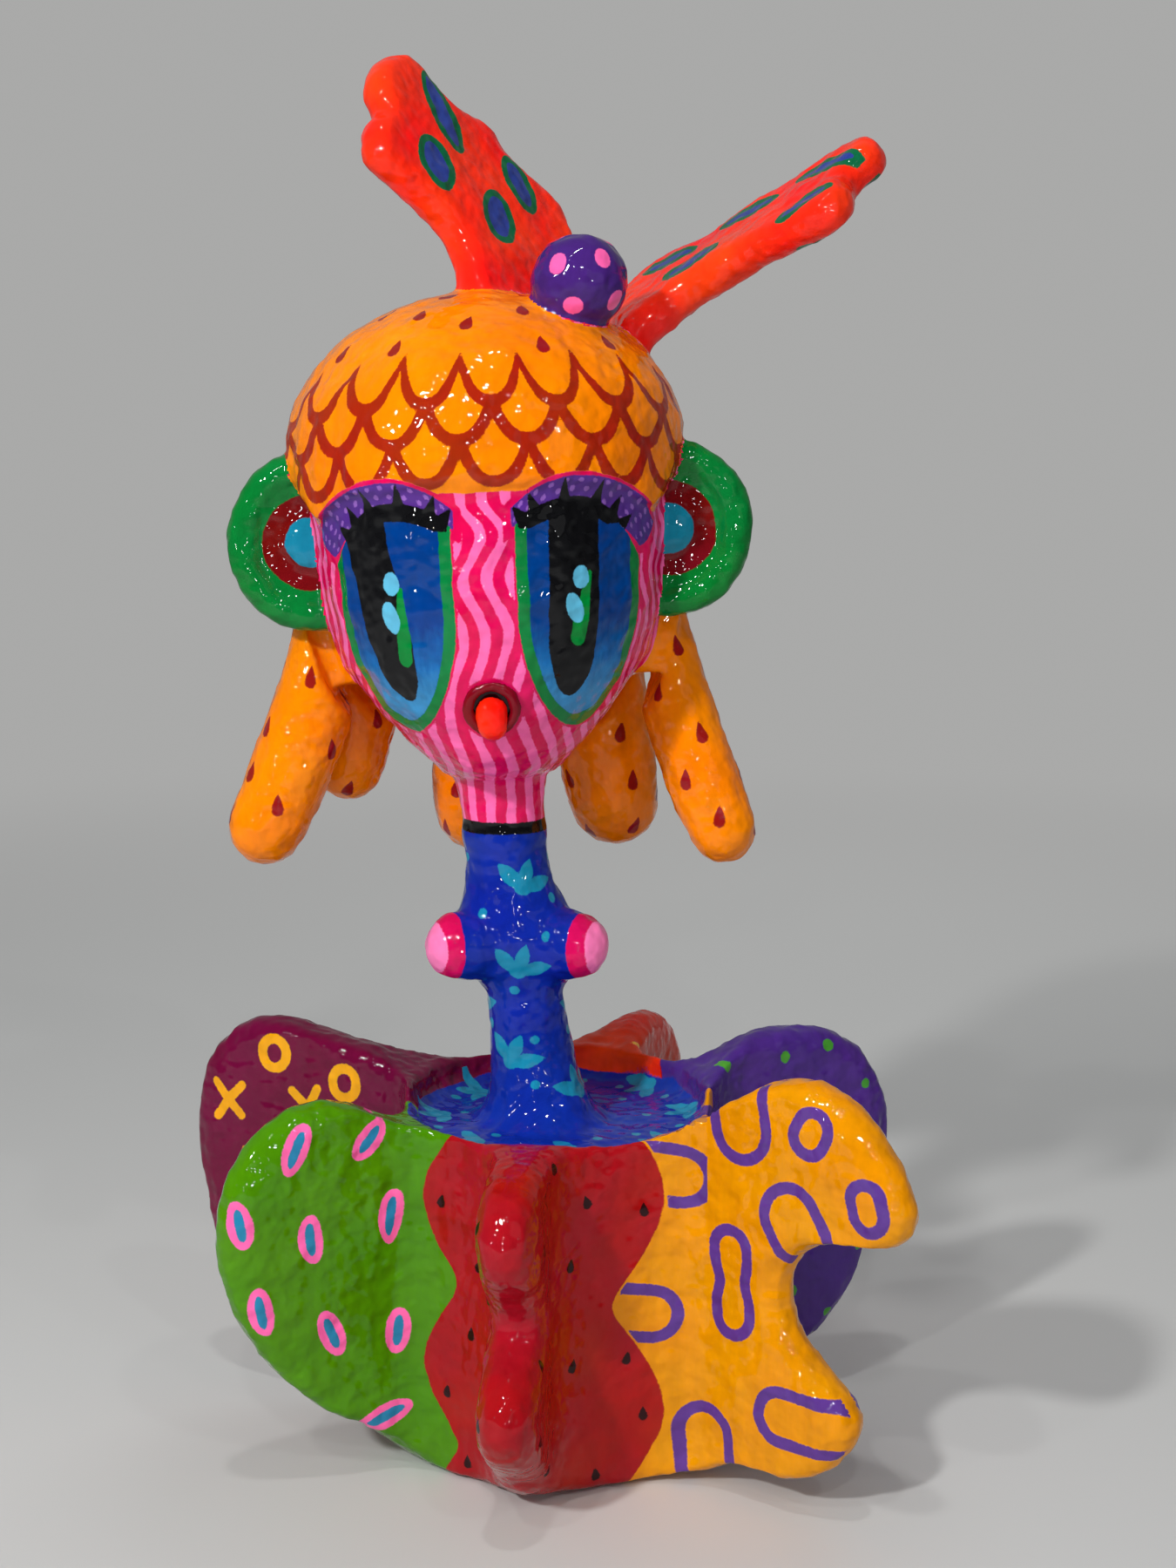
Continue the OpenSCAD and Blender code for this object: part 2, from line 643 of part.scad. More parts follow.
module at_mouth() {
    translate([0, -.83*head_r, mouth_z]) rotate([90 + mouth_pitch, 0, 0]) children();
}

module lips() {
    color("darkred") at_head() difference() {
        at_mouth() rotate_extrude($fn = 24) translate([lips_r, 0]) circle(r = lip_r, $fn = 10);
        skull(glue);
    }
}

module tongue() {
    color("orangered") at_head() difference() {
        at_mouth() hull() {
            translate([0, -.36*tongue_r, 0]) scale([1, 1.2, .8]) sphere(r = tongue_r, $fn = 16);
            translate([0, -tongue_r, .27*tongue_r]) scale([1, 1, .7])
                sphere(r = .95*tongue_r, $fn = 16);
        }
        skull(glue);
        at_mouth() rotate_extrude($fn = 24) translate([lips_r, 0]) circle(r = lip_r + glue, $fn = 10);
    }
}

// ---------- bow ----------

module at_wing(wing) {
    translate(wing[0]) rotate([0, wing[1], 0]) rotate([0, 0, wing[2]]) children();
}

// An outline of [y, z] points drawn in by a distance and set at a height x off its plane
function drawn_in(outline, x, distance) = let (n = len(outline))
    [for (i = [0:n - 1]) let (
        along = outline[(i + 1)%n] - outline[(i + n - 1)%n],
        p = outline[i] + distance*[along[1], -along[0]]/norm(along))
        [x, p[0], p[1]]];

// A lobed slab with rounded edges
module wing_body(wing) {
    outline = smooth_rows(wing[3]*wing_l, 2);
    at_wing(wing) loft(concat(
        [for (edge = wing_edge) drawn_in(outline, wing_t/2*edge[0], edge[1])],
        [for (k = [len(wing_edge) - 1:-1:0]) let (edge = wing_edge[k])
            drawn_in(outline, -wing_t/2*edge[0], edge[1])]));
}

module wing(wing) {
    at_head() difference() {
        wing_body(wing);
        hair_form(glue);
        wing_wire(wing, glue);
    }
}

module wing_wire(wing, grow) {
    at_wing(wing) translate([0, wing_wire_y, -wing_wire_root - grow])
        cylinder(h = wing_wire_root + wing_wire_l + 2*grow, r = wire_r + grow, $fn = 12);
}

module bow_knob() {
    color("indigo") at_head() difference() {
        translate(knob_at) scale([1, 1, .95]) sphere(r = knob_r, $fn = 24);
        hair_form(glue);
        wing_body(left_wing);
        wing_body(right_wing);
    }
}

module wing_left() { color("orangered") wing(left_wing); }
module wing_right() { color("orangered") wing(right_wing); }
module wing_wires() {
    color("silver") at_head() {
        wing_wire(left_wing, 0);
        wing_wire(right_wing, 0);
    }
}

base_disc();
drum();
post();
petal_red();
petal_yellow();
petal_purple();
petal_orange();
petal_maroon();
petal_green();
board_red();
board_yellow();
board_purple();
board_orange();
board_maroon();
board_green();
torso();
pod_left();
pod_right();
pod_wire();
neck_collar();
head();
hair_cap();
lock_outer_left();
lock_back_left();
lock_back();
lock_back_right();
lock_outer_right();
lock_wires();
ear_roll_left();
ear_roll_right();
ear_pad_left();
ear_pad_right();
ear_pegs();
lips();
tongue();
bow_knob();
wing_left();
wing_right();
wing_wires();
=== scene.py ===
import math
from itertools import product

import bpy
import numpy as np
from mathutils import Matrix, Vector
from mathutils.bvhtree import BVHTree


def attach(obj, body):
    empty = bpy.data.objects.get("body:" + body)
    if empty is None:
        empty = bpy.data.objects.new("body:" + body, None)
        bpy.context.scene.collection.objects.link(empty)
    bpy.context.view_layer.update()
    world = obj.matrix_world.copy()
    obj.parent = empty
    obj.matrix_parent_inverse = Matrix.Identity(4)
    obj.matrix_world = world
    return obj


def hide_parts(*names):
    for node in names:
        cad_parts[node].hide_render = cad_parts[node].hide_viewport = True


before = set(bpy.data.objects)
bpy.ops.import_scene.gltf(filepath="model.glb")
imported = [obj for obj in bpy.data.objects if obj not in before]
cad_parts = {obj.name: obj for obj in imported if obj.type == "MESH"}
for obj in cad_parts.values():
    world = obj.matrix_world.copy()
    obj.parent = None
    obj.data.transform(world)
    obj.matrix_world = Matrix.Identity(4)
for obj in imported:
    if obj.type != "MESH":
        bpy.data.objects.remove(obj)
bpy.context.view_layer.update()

# Looks of the papier-mache alebrije figure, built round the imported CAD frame.
#
# 1. One voxel skin is laid round all the pasted paper. It is smoothed, so that joints turn into
#    fillets, and each of its faces belongs to the CAD node that lies nearest.
# 2. Each painted mark is a signed distance in mm, worked out on the skin's points: below 0 inside.
# 3. The skin gets its lumps and is cut up by node. The pieces carry the distances as attributes,
#    and the paint turns each of them into brushwork under varnish.

scene = bpy.context.scene
scene.view_settings.view_transform = "Standard"

MM = 0.001
VOXEL = 1.25             # the skin's, in mm
SMALL_VOXEL = 0.5        # the mouth's, in mm
OFF = 9.0                                       # the distance of a point that is off every mark

# ---------------------------------------------------------------- the figure's main places, in mm
DRUM_R, DRUM_H = 62.0, 142.0
TORSO_X, TORSO_LEAN, TORSO_H = -7.5, 15, 120
POD_CENTRE = np.array([-17.1, 0, 219])
POD_BEARINGS = (-25, 205)
HEAD_R = 73.0
HEAD_TILT = math.radians(2.3)
NECK = np.array([-22.5, 0.0, 262.25])
HEAD_Z = 26.0 + 1.7*HEAD_R                      # the head's centre above the neck's foot
EAR_X, EAR_Z = 73.7, -21.5                      # from the head's centre
BLADE = 9                                       # from a petal's middle plane to its flat sides
AZIMUTHS = dict(red=-99.5, yellow=-38, purple=22, orange=69, maroon=158, green=206)
COLOURS = list(AZIMUTHS)

# The nodes that show pasted paper, and the material slot of each
SKIN = {
    "drum": "paint_blue", "petal_red": "paint_red", "petal_yellow": "paint_amber",
    "petal_purple": "paint_purple", "petal_orange": "paint_orange_red",
    "petal_maroon": "paint_maroon", "petal_green": "paint_green", "torso": "paint_blue",
    "pod_left": "paint_pink", "pod_right": "paint_pink", "neck_collar": "paint_black",
    "head": "paint_crimson", "hair_cap": "paint_hair", "lock_outer_left": "paint_hair",
    "lock_back_left": "paint_hair", "lock_back": "paint_hair", "lock_back_right": "paint_hair",
    "lock_outer_right": "paint_hair", "ear_roll_left": "paint_ear_green",
    "ear_roll_right": "paint_ear_green", "ear_pad_left": "paint_dark_red",
    "ear_pad_right": "paint_dark_red", "bow_knob": "paint_violet", "wing_left": "paint_orange_red",
    "wing_right": "paint_orange_red",
}
NAMES = list(SKIN)

# ---------------------------------------------------------------- meshes as arrays


def mesh_arrays(mesh):
    """Vertices in mm and triangles of a mesh."""
    co = np.empty(len(mesh.vertices)*3, np.float32)
    mesh.vertices.foreach_get("co", co)
    mesh.calc_loop_triangles()
    tri = np.empty(len(mesh.loop_triangles)*3, np.int32)
    mesh.loop_triangles.foreach_get("vertices", tri)
    return co.reshape(-1, 3).astype(float)/MM, tri.reshape(-1, 3)


def joined(parts):
    """Vertices and triangles of several meshes as one."""
    starts = np.cumsum([0] + [len(co) for co, _ in parts])
    return (np.concatenate([co for co, _ in parts]),
            np.concatenate([tri + start for (_, tri), start in zip(parts, starts)]))


def plug(radius, low, high, sides=64):
    """A closed cylinder that fills the drum, or the skin would have an inner wall too."""
    angle = np.linspace(0, 2*np.pi, sides, endpoint=False)
    ring = np.c_[radius*np.cos(angle), radius*np.sin(angle)]
    co = np.r_[np.c_[ring, np.full(sides, low)], np.c_[ring, np.full(sides, high)],
               [[0, 0, low], [0, 0, high]]]
    tri = []
    for i in range(sides):
        j = (i + 1) % sides
        tri += [(i, j, sides + j), (i, sides + j, sides + i)]
        tri += [(2*sides, j, i), (2*sides + 1, sides + i, sides + j)]
    return co, np.array(tri)


def remeshed(parts, voxel):
    """One voxel skin round several closed meshes: vertices in mm, quads."""
    co, tri = joined(parts)
    mesh = bpy.data.meshes.new("work")
    mesh.from_pydata((co*MM).tolist(), [], tri.tolist())
    work = bpy.data.objects.new("work", mesh)
    scene.collection.objects.link(work)
    skin = work.modifiers.new("skin", "REMESH")
    skin.mode = "VOXEL"
    skin.voxel_size = voxel*MM
    graph = bpy.context.evaluated_depsgraph_get()
    result = bpy.data.meshes.new_from_object(work.evaluated_get(graph))
    verts = np.empty(len(result.vertices)*3, np.float32)
    result.vertices.foreach_get("co", verts)
    quads = np.empty(len(result.loops), np.int32)
    result.loops.foreach_get("vertex_index", quads)
    assert len(quads) == 4*len(result.polygons)
    bpy.data.objects.remove(work)
    bpy.data.meshes.remove(mesh)
    bpy.data.meshes.remove(result)
    return verts.reshape(-1, 3).astype(float)/MM, quads.reshape(-1, 4)


def edges_of(quads):
    """Every edge once, as a pair of vertices."""
    pairs = np.concatenate([quads[:, [i, (i + 1) % 4]] for i in range(4)])
    return np.unique(np.sort(pairs, axis=1), axis=0)


def largest_sheet(co, quads):
    """Only the connected sheet with the most points: those round inner pockets go."""
    edges = edges_of(quads)
    label = np.arange(len(co))
    while True:
        low = np.minimum(label[edges[:, 0]], label[edges[:, 1]])
        new = label.copy()
        np.minimum.at(new, edges[:, 0], low)
        np.minimum.at(new, edges[:, 1], low)
        new = new[new]
        new = new[new]
        if (new == label).all():
            break
        label = new
    names, counts = np.unique(label, return_counts=True)
    keep = label == names[counts.argmax()]
    index = np.cumsum(keep) - 1
    return co[keep], index[quads[keep[quads[:, 0]]]]


KEEP_SIZE = (0.5, -0.53)        # a step in and a step out again
RUB_DOWN = (0.5, 0.5)           # two steps in, which round off what stands out


def smoothed(co, quads, rounds, weight=None, steps=KEEP_SIZE):
    """Moves the points with a weight above 0 towards their neighbours' mean, by two steps a round."""
    edges = edges_of(quads)
    a = np.r_[edges[:, 0], edges[:, 1]]
    b = np.r_[edges[:, 1], edges[:, 0]]
    if weight is None:
        weight = np.ones(len(co))
    used = weight[a] > 0
    a, b = a[used], b[used]
    count = np.maximum(np.bincount(a, minlength=len(co)), 1)[:, None]
    weight = weight[:, None]
    for k in range(2*rounds):
        mean = np.stack([np.bincount(a, co[b, i], len(co)) for i in range(3)], 1)/count
        co = co + steps[k % 2]*weight*(mean - co)
    return co


def normals_of(co, quads):
    """Unit normals of the vertices, where larger faces count for more."""
    diagonal = np.cross(co[quads[:, 2]] - co[quads[:, 0]], co[quads[:, 3]] - co[quads[:, 1]])
    out = np.zeros_like(co)
    for i in range(4):
        for k in range(3):
            out[:, k] += np.bincount(quads[:, i], diagonal[:, k], len(co))
    return out/np.maximum(np.linalg.norm(out, axis=1, keepdims=True), 1e-12)


OFF_GRID = np.array([[0.36, 0.48, -0.8], [-0.8, 0.6, 0], [0.48, 0.64, 0.6]])   # turns the grid
CELL_PRIMES = np.array([73856093, 19349663, 83492791])


def noise(p, size, seed):
    """Smooth noise from -1 to 1 with lumps of a size in mm, between hashed values on a grid."""
    q = p @ OFF_GRID.T/size + 1000 + 17.3*seed
    cell = np.floor(q).astype(np.int64)
    f = q - cell
    f = f*f*f*(f*(6*f - 15) + 10)
    total = 0
    for corner in product((0, 1), repeat=3):
        n = (cell + corner) @ CELL_PRIMES + seed*2654435
        n = (n ^ (n >> 13))*1274126177 & 0x7fffffff
        n = (n ^ (n >> 16))*2246822519 & 0x7fffffff
        value = (n & 0xffff)/32767.5 - 1
        total = total + value*np.prod(np.where(corner, f, 1 - f), axis=1)
    return total


def lumps(p):
    """Height in mm of the pasted paper's lumps and the edges of its torn strips."""
    broad = 0.6*noise(p, 24, 1) + 0.5*noise(p, 12, 2)
    strips = 0.5*np.abs(noise(p, 9, 3)) + 0.4*np.abs(noise(p, 6, 4))
    fine = 0.2*noise(p, 3.6, 5)
    return broad - strips + fine


# ---------------------------------------------------------------- shapes of the painted marks, in mm
# Each takes places in the surface (a to the right, b up) and, where marks differ, the mark's
# number k, and gives the signed distance to the mark's edge.


def ellipse(a, b, wide, high):
    """An ellipse of half sizes wide and high."""
    q = np.sqrt((a/wide)**2 + (b/high)**2) + 1e-6
    slope = np.sqrt((a/wide**2)**2 + (b/high**2)**2)/q + 1e-6
    return (q - 1)/slope


def capsule(a, b, start, end, radius):
    """A brush line with round ends between two places."""
    (ax, ay), (bx, by) = start, end
    length_2 = max((bx - ax)**2 + (by - ay)**2, 1e-9)
    share = np.clip(((a - ax)*(bx - ax) + (b - ay)*(by - ay))/length_2, 0, 1)
    return np.hypot(a - ax - share*(bx - ax), b - ay - share*(by - ay)) - radius


def turned(a, b, degrees):
    """The same places, seen along axes that are turned to the left."""
    c, s = math.cos(math.radians(degrees)), math.sin(math.radians(degrees))
    return a*c + b*s, b*c - a*s


def chance(k, seed=0):
    """A fixed number from 0 to 1 for mark k."""
    return math.modf(abs(math.sin(12.9898*(k + 1) + 78.233*(seed + 1))*43758.5453))[0]


def drop(a, b, k, wide=2.2, high=4.9):
    """A seed: an oval that is drawn to a point at the top."""
    a, b = turned(a, b, 40*(chance(k) - 0.5))
    return ellipse(a/(1 - 0.75*np.clip(b/high, -1, 1)), b, wide, high)


def spot(a, b, k, radius=2.4):
    """A dot, a little out of round."""
    return ellipse(a, b, radius*(0.9 + 0.3*chance(k)), radius*(0.9 + 0.3*chance(k, 1)))


def oval(a, b, k, wide=5.3, high=11.0):
    """An upright oval, a little bent and wedged."""
    a, b = turned(a, b, 24*(chance(k) - 0.5))
    a = a + 0.02*b*b*(chance(k, 2) - 0.5)
    return ellipse(a/(1 + 0.02*b*(chance(k, 3) - 0.5)), b, wide, high*(0.9 + 0.2*chance(k, 1)))


def loop(a, b, k, halves, radii):
    """A ring that is drawn out by half its straight length; a long one has a waist."""
    half, radius = halves[k % len(halves)], radii[k % len(radii)]
    waist = 2.0*np.exp(-(b/6)**2) if half > 12 else 0
    return np.abs(capsule(a, b, (0, -half), (0, half), radius - waist)) - 2.5


def gold_sign(a, b, k):
    """A ring, a cross or a fork by turns."""
    a, b = turned(a, b, 60*(chance(k) - 0.5))
    if k % 3 == 0:
        return np.abs(ellipse(a, b, 6.0, 6.8)) - 2.3
    arms = [(-6, -8), (6, -7), (-6, 8), (7, 7)] if k % 3 == 1 else [(0, -8), (-7, 8), (6, 9)]
    return np.minimum.reduce([capsule(a, b, (0, 0), end, 2.1) for end in arms])


def sprig(a, b, k):
    """Three pointed leaves that spread from one rounded foot."""
    a, b = turned(a, b, 70*(chance(k) - 0.5))
    marks = [ellipse(a, b + 5, 3.8, 3.2)]
    for lean, length in ((-56, 15), (0, 13.5), (56, 15)):
        across, along = turned(a, b + 6, lean)
        share = 2*along/length - 1
        leaf = np.abs(across) - 3.1*(1 - share**2)
        beyond = np.hypot(across, np.maximum(-along, along - length))
        marks.append(np.where(np.abs(share) < 1, leaf, beyond))
    return np.minimum.reduce(marks)


# ---------------------------------------------------------------- one skin round all the pasted paper
cad = {name: mesh_arrays(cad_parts[name].data) for name in NAMES}


def tree_of(names):
    """A search tree over the CAD solids of some nodes."""
    co, tri = joined([cad[name] for name in names])
    return BVHTree.FromPolygons(co.tolist(), tri.tolist())


def distance(names, points):
    """Distance from each point to the nearest of some nodes."""
    tree = tree_of(names)
    return np.array([tree.find_nearest(p)[3] for p in points.tolist()])


co, quads = remeshed([*cad.values(), plug(DRUM_R - 2, 6, DRUM_H - 1)], VOXEL)
co, quads = largest_sheet(co, quads)
co = smoothed(co, quads, rounds=30)

face_owner = np.repeat(np.arange(len(NAMES)), [len(cad[name][1]) for name in NAMES])
solids = tree_of(NAMES)
owner = np.array([face_owner[solids.find_nearest(p)[2]] for p in co[quads].mean(axis=1).tolist()])
vertex_owner = np.zeros(len(co), int)
vertex_owner[quads.ravel()] = np.repeat(owner, 4)


def of_nodes(*starts):
    """Whether each point of the skin lies on a node whose name has one of these starts."""
    return np.isin(vertex_owner, [k for k, name in enumerate(NAMES) if name.startswith(starts)])


def border(one, other):
    """Signed distance from the line where two groups of nodes meet: below 0 on the first."""
    near = of_nodes(*one, *other)
    d = np.where(of_nodes(*one), -OFF, OFF)
    first, second = ([name for name in NAMES if name.startswith(group)] for group in (one, other))
    steepness = 1.3         # the difference grows faster than the way from the line
    d[near] = np.clip((distance(first, co[near]) - distance(second, co[near]))/steepness, -OFF, OFF)
    return d


# The cap's edge, the dish's rim and the torso's shoulders are feathered; the locks and the front
# petal are rubbed round.
HAIR_LINE = border(("hair", "lock"), ("head",))
from_axis = np.hypot(co[:, 0], co[:, 1])
feathered = np.maximum.reduce([
    np.clip(1.15 - np.abs(HAIR_LINE)/9, 0, 1),
    0.8*of_nodes("lock"),
    0.9*of_nodes("petal_red"),
    np.clip(1.3 - np.abs(from_axis - DRUM_R + 3)/9, 0, 1)*(co[:, 2] > 127)*of_nodes("drum", "petal"),
    np.clip(1.6 - np.abs(co[:, 2] - 222)/18, 0, 1)*of_nodes("torso")])
ROUNDS = round(32/VOXEL**2)     # as many as round off a fixed width
co = smoothed(co, quads, ROUNDS, feathered, RUB_DOWN)
# The rims of petals and wings lose their flats but keep their size: twice one smoothing less two.
rims = 0.9*of_nodes("petal", "wing", "ear_roll")*(feathered == 0)
once = smoothed(co, quads, ROUNDS, rims, RUB_DOWN)
co = 2*once - smoothed(once, quads, ROUNDS, rims, RUB_DOWN)
smooth_normals = normals_of(co, quads)
wobble = 0.45*noise(co, 8, 11) + 0.2*noise(co, 3.5, 12)     # of the hand that paints an edge

# ---------------------------------------------------------------- putting marks on the skin


def scatter(allowed, spacing, start):
    """Numbers of skin points a spacing apart, over the allowed part of the skin."""
    left = np.flatnonzero(allowed)
    if len(left) == 0:
        return []
    chosen = [left[np.argmin(np.linalg.norm(co[left] - start, axis=1))]]
    gap = np.linalg.norm(co[left] - co[chosen[0]], axis=1)
    while gap.max() > spacing:
        chosen.append(left[gap.argmax()])
        gap = np.minimum(gap, np.linalg.norm(co[left] - co[chosen[-1]], axis=1))
    return chosen


def stamp(points, shape, up=(0, 0, 1), reach=26, depth=7, turns=None, **sizes):
    """Signed distance to the nearest of the marks stamped on the skin at the points. A mark ends at
    its reach in mm, and at its depth along the normal, so that it can't show on the far side."""
    d = np.full(len(co), OFF)
    for k, i in enumerate(points):
        normal = smooth_normals[i]
        top = np.asarray(up, float) - normal*(normal @ np.asarray(up, float))
        top /= np.linalg.norm(top)
        away = co - co[i]
        near = np.flatnonzero((away**2).sum(axis=1) < reach**2)
        near = near[np.abs(away[near] @ normal) < depth]
        a, b = away[near] @ np.cross(top, normal), away[near] @ top
        a, b = turned(a, b, turns[k] if turns else 0)
        d[near] = np.minimum(d[near], shape(a, b, k, **sizes))
    return d


# ---------------------------------------------------------------- the foot: six colours round the drum
radius = np.hypot(co[:, 0], co[:, 1])
azimuth = np.degrees(np.arctan2(co[:, 1], co[:, 0]))
height = co[:, 2]

# Borders between neighbouring colours: bearing, size of the waves, their length and their start
BORDERS = [(-61, 10.5, 90, 124), (-7, 6, 75, 80), (46, 5, 68, 110), (112, 6, 80, 60),
           (183, 6, 72, 100), (-135, -7.5, 70, 120)]


def turn_between(a, b):
    """Degrees from bearing b to bearing a, from -180 to 180."""
    return (a - b + 180) % 360 - 180


def border_edge(bearing, size, length, start):
    """Distance past a border on the drum's wall; its waves are round and meet in narrow waists."""
    wave = size*(2.85*(np.cos(np.pi*(height - start)/length)**2 + 0.06)**0.4 - 1.92)
    return np.radians(turn_between(azimuth, bearing))*np.clip(radius, 20, DRUM_R + 6) - wave


border_edges = [border_edge(*row) for row in BORDERS]
sector = {}
for k, name in enumerate(COLOURS):
    elsewhere = np.abs(turn_between(azimuth, AZIMUTHS[name])) > 100
    between = np.maximum(-border_edges[k - 1], border_edges[k])
    sector[name] = np.where(elsewhere, OFF, between) + wobble

# The blue covers the dish up to the petals' inner ends, and the torso with its pods.
inner_end = 4.5*(of_nodes("petal_yellow", "petal_green") & (height > DRUM_H + 1))
rim = radius - DRUM_R + 1.5 - inner_end + 1.2*noise(co, 20, 13)
torso_x = TORSO_X - TORSO_LEAN*np.clip((height - DRUM_H)/TORSO_H, 0, 1)
on_torso = (height > 160) & (np.hypot(co[:, 0] - torso_x, co[:, 1]) < 45) & of_nodes("torso", "pod")
blue = np.where(on_torso, -OFF, np.maximum(rim, DRUM_H - 14 - height)) + wobble

side_away = np.zeros(len(co))       # how squarely a point looks out of its petal's flat side
for name, bearing in AZIMUTHS.items():
    here = of_nodes("petal_" + name)
    flat = np.array([-math.sin(math.radians(bearing)), math.cos(math.radians(bearing)), 0])
    side_away[here] = np.abs(smooth_normals[here] @ flat)
on_wall = ((radius < DRUM_R + 12) & (np.abs(smooth_normals[:, 2]) < 0.3)
           & (height > 9) & (height < DRUM_H - 8))
on_blade = (side_away > 0.9) & (radius > DRUM_R + 8)


def petal_marks(name, rows, shape, **sizes):
    """Marks on both sides of a petal, from rows of (distance from the drum's axis, height, turn).
    One nearer than the wall goes round the wall by as much, beside the blade."""
    bearing = math.radians(AZIMUTHS[name])
    out = np.array([math.cos(bearing), math.sin(bearing), 0])
    aside = np.array([-out[1], out[0], 0])
    wall_r = DRUM_R + 4
    points, turns = [], []
    for side in (-1, 1):
        for far, high, turn in rows:
            round_wall = max(wall_r - far, 0)/wall_r*side
            place = (out*math.cos(round_wall) + aside*math.sin(round_wall))*max(far, wall_r)
            if far >= wall_r:
                place = place + aside*side*BLADE
            points.append(np.argmin(((co - place - [0, 0, high])**2).sum(axis=1)))
            turns.append(-side*turn)
    return np.maximum(stamp(points, shape, turns=turns, **sizes), sector[name] + 1)


def strewn_marks(name, margin, spacing, start, shape, **sizes):
    """Small marks all over a colour's open faces, a margin away from its borders."""
    allowed = of_nodes("petal", "drum") & (sector[name] < -margin) & (on_wall | on_blade) & (blue > 8)
    return np.maximum(stamp(scatter(allowed, spacing, start), shape, reach=8, **sizes), sector[name])


# Rows for petal_marks; a loop's row goes on with half its straight length and its radius.
OVALS = [(122, 146, 12), (90, 146, 40), (146, 117, -8), (82, 112, 6), (116, 107, 4), (138, 80, -14),
         (78, 62, 8), (108, 66, -16), (84, 26, 60)]
LOOPS = [(100, 163, 10, 7, 12), (47, 135, 80, 11, 11), (134, 160, -25, 2, 7), (160, 136, 15, 3, 6.5),
         (128, 120, 30, 5, 12), (98, 92, 3, 14, 8), (40, 76, 80, 7, 10), (134, 40, 88, 12, 10.5),
         (86, 16, 5, 9, 11)]
SIGNS = [(134, 158, 0), (158, 134, 20), (118, 134, -15), (98, 148, 10), (142, 106, 0),
         (98, 118, 25), (122, 86, -20), (86, 84, 10), (144, 66, 10), (110, 48, 30), (84, 30, -15),
         (60, 108, 5)]

FOOT_PAINT = {"s_" + name: sector[name] for name in COLOURS[1:]}
FOOT_PAINT["blue"] = blue
FOOT_PAINT["oval"] = petal_marks("green", OVALS, oval)
FOOT_PAINT["core"] = FOOT_PAINT["oval"] + 3.3
FOOT_PAINT["loop"] = petal_marks("yellow", [row[:3] for row in LOOPS], loop, reach=32,
                                 halves=[row[3] for row in LOOPS], radii=[row[4] for row in LOOPS])
FOOT_PAINT["gold"] = petal_marks("maroon", SIGNS, gold_sign)
FOOT_PAINT["dot"] = strewn_marks("purple", 6, 21, (100, 30, 160), spot)
FOOT_PAINT["seed"] = strewn_marks("red", 7, 25, (0, -66, 100), drop, wide=1.7, high=3.1)
FOOT_PAINT["pale"] = strewn_marks("orange", 8, 26, (40, 100, 100), spot, radius=3)

# ---------------------------------------------------------------- the dish, the torso and the pods


def leaf_marks():
    """Sprigs round the stem and on the dish, with dots in the gaps between them."""
    floor = (of_nodes("drum") & (smooth_normals[:, 2] > 0.9)
             & (radius < DRUM_R - 8) & (radius > 38))
    stem = (of_nodes("torso") & (height > DRUM_H + 18) & (height < 256)
            & (smooth_normals[:, 2] < 0.45))
    sprigs = np.minimum(
        stamp(scatter(stem, 29, (-15, -18, 214)), sprig, reach=16),
        stamp(scatter(floor, 30, (0, -48, DRUM_H)), sprig, up=(-1, -0.3, 0), reach=16))
    gaps = (stem | floor) & (sprigs > 5.5)
    dots = stamp(scatter(gaps, 17, (-30, -14, 233)), spot, reach=8, radius=2.0)
    return np.minimum(sprigs, dots)


def pod_end(start):
    """The ends of both pods, beyond a distance along their axes."""
    d = np.full(len(co), OFF)
    near = np.linalg.norm(co - POD_CENTRE, axis=1) < 60
    for bearing in POD_BEARINGS:
        axis = np.array([math.cos(math.radians(bearing)), math.sin(math.radians(bearing)), 0])
        d = np.where(near, np.minimum(d, start - (co - POD_CENTRE) @ axis), d)
    return d + wobble


FOOT_PAINT["leaf"] = leaf_marks()
FOOT_PAINT["ring"] = pod_end(29.5)
FOOT_PAINT["tip"] = pod_end(36.5)
FOOT_PAINT["black"] = 267 - height + 0.5*wobble         # the collar

# ---------------------------------------------------------------- the head
tilt = np.array([[math.cos(HEAD_TILT), 0, math.sin(HEAD_TILT)], [0, 1, 0],
                 [-math.sin(HEAD_TILT), 0, math.cos(HEAD_TILT)]])
hx, hy, hz = ((co - NECK) @ tilt.T - [0, 0, HEAD_Z]).T      # from the head's centre
rho = np.hypot(hx, hy)
turn = np.arctan2(hx, -hy)                                  # from the middle of the face
front = np.abs(turn) < 2.2
u = HEAD_R*turn*(rho/HEAD_R)**0.5                           # across the face, laid flat
v = hz                                                      # up the face
au = np.abs(u)
EYE_U = 38                                                  # where the lids are highest


def arch(across, top, inner, outer):
    """Height of a lid's line, which bends more or less on its two sides."""
    return top - np.where(across < EYE_U, inner, outer)*(across - EYE_U)**2


def lash_line(across, top=-6.0):
    """The lid's lower line, where the lashes grow."""
    return arch(across, top, 0.0125, 0.0185)


lid_top = arch(au, 2.0, 0.0164, 0.0089)
lash_top = lash_line(au)
lid_tail = np.where(au < 74, -20 - 0.7*(au - 64), -27 + 9*((au - 74)/12)**2)
lid_foot = np.where(au < 64, lash_top - 2.5, lid_tail)
lid = np.maximum.reduce([v - lid_top, lid_foot - v, 11.5 - au])*0.92
eye_side = ellipse(au - 43, np.minimum(v + 50, 0), 30.3, 48.5)
eye = np.maximum(eye_side, v - lash_top + 2)

# Each lash: its foot across the face, its lean and its length
LASHES = [(15.5, 38, 6), (21, 20, 8), (34, 4, 9.5), (48.5, -14, 9.5), (57, -34, 8.5), (62.5, -58, 7)]


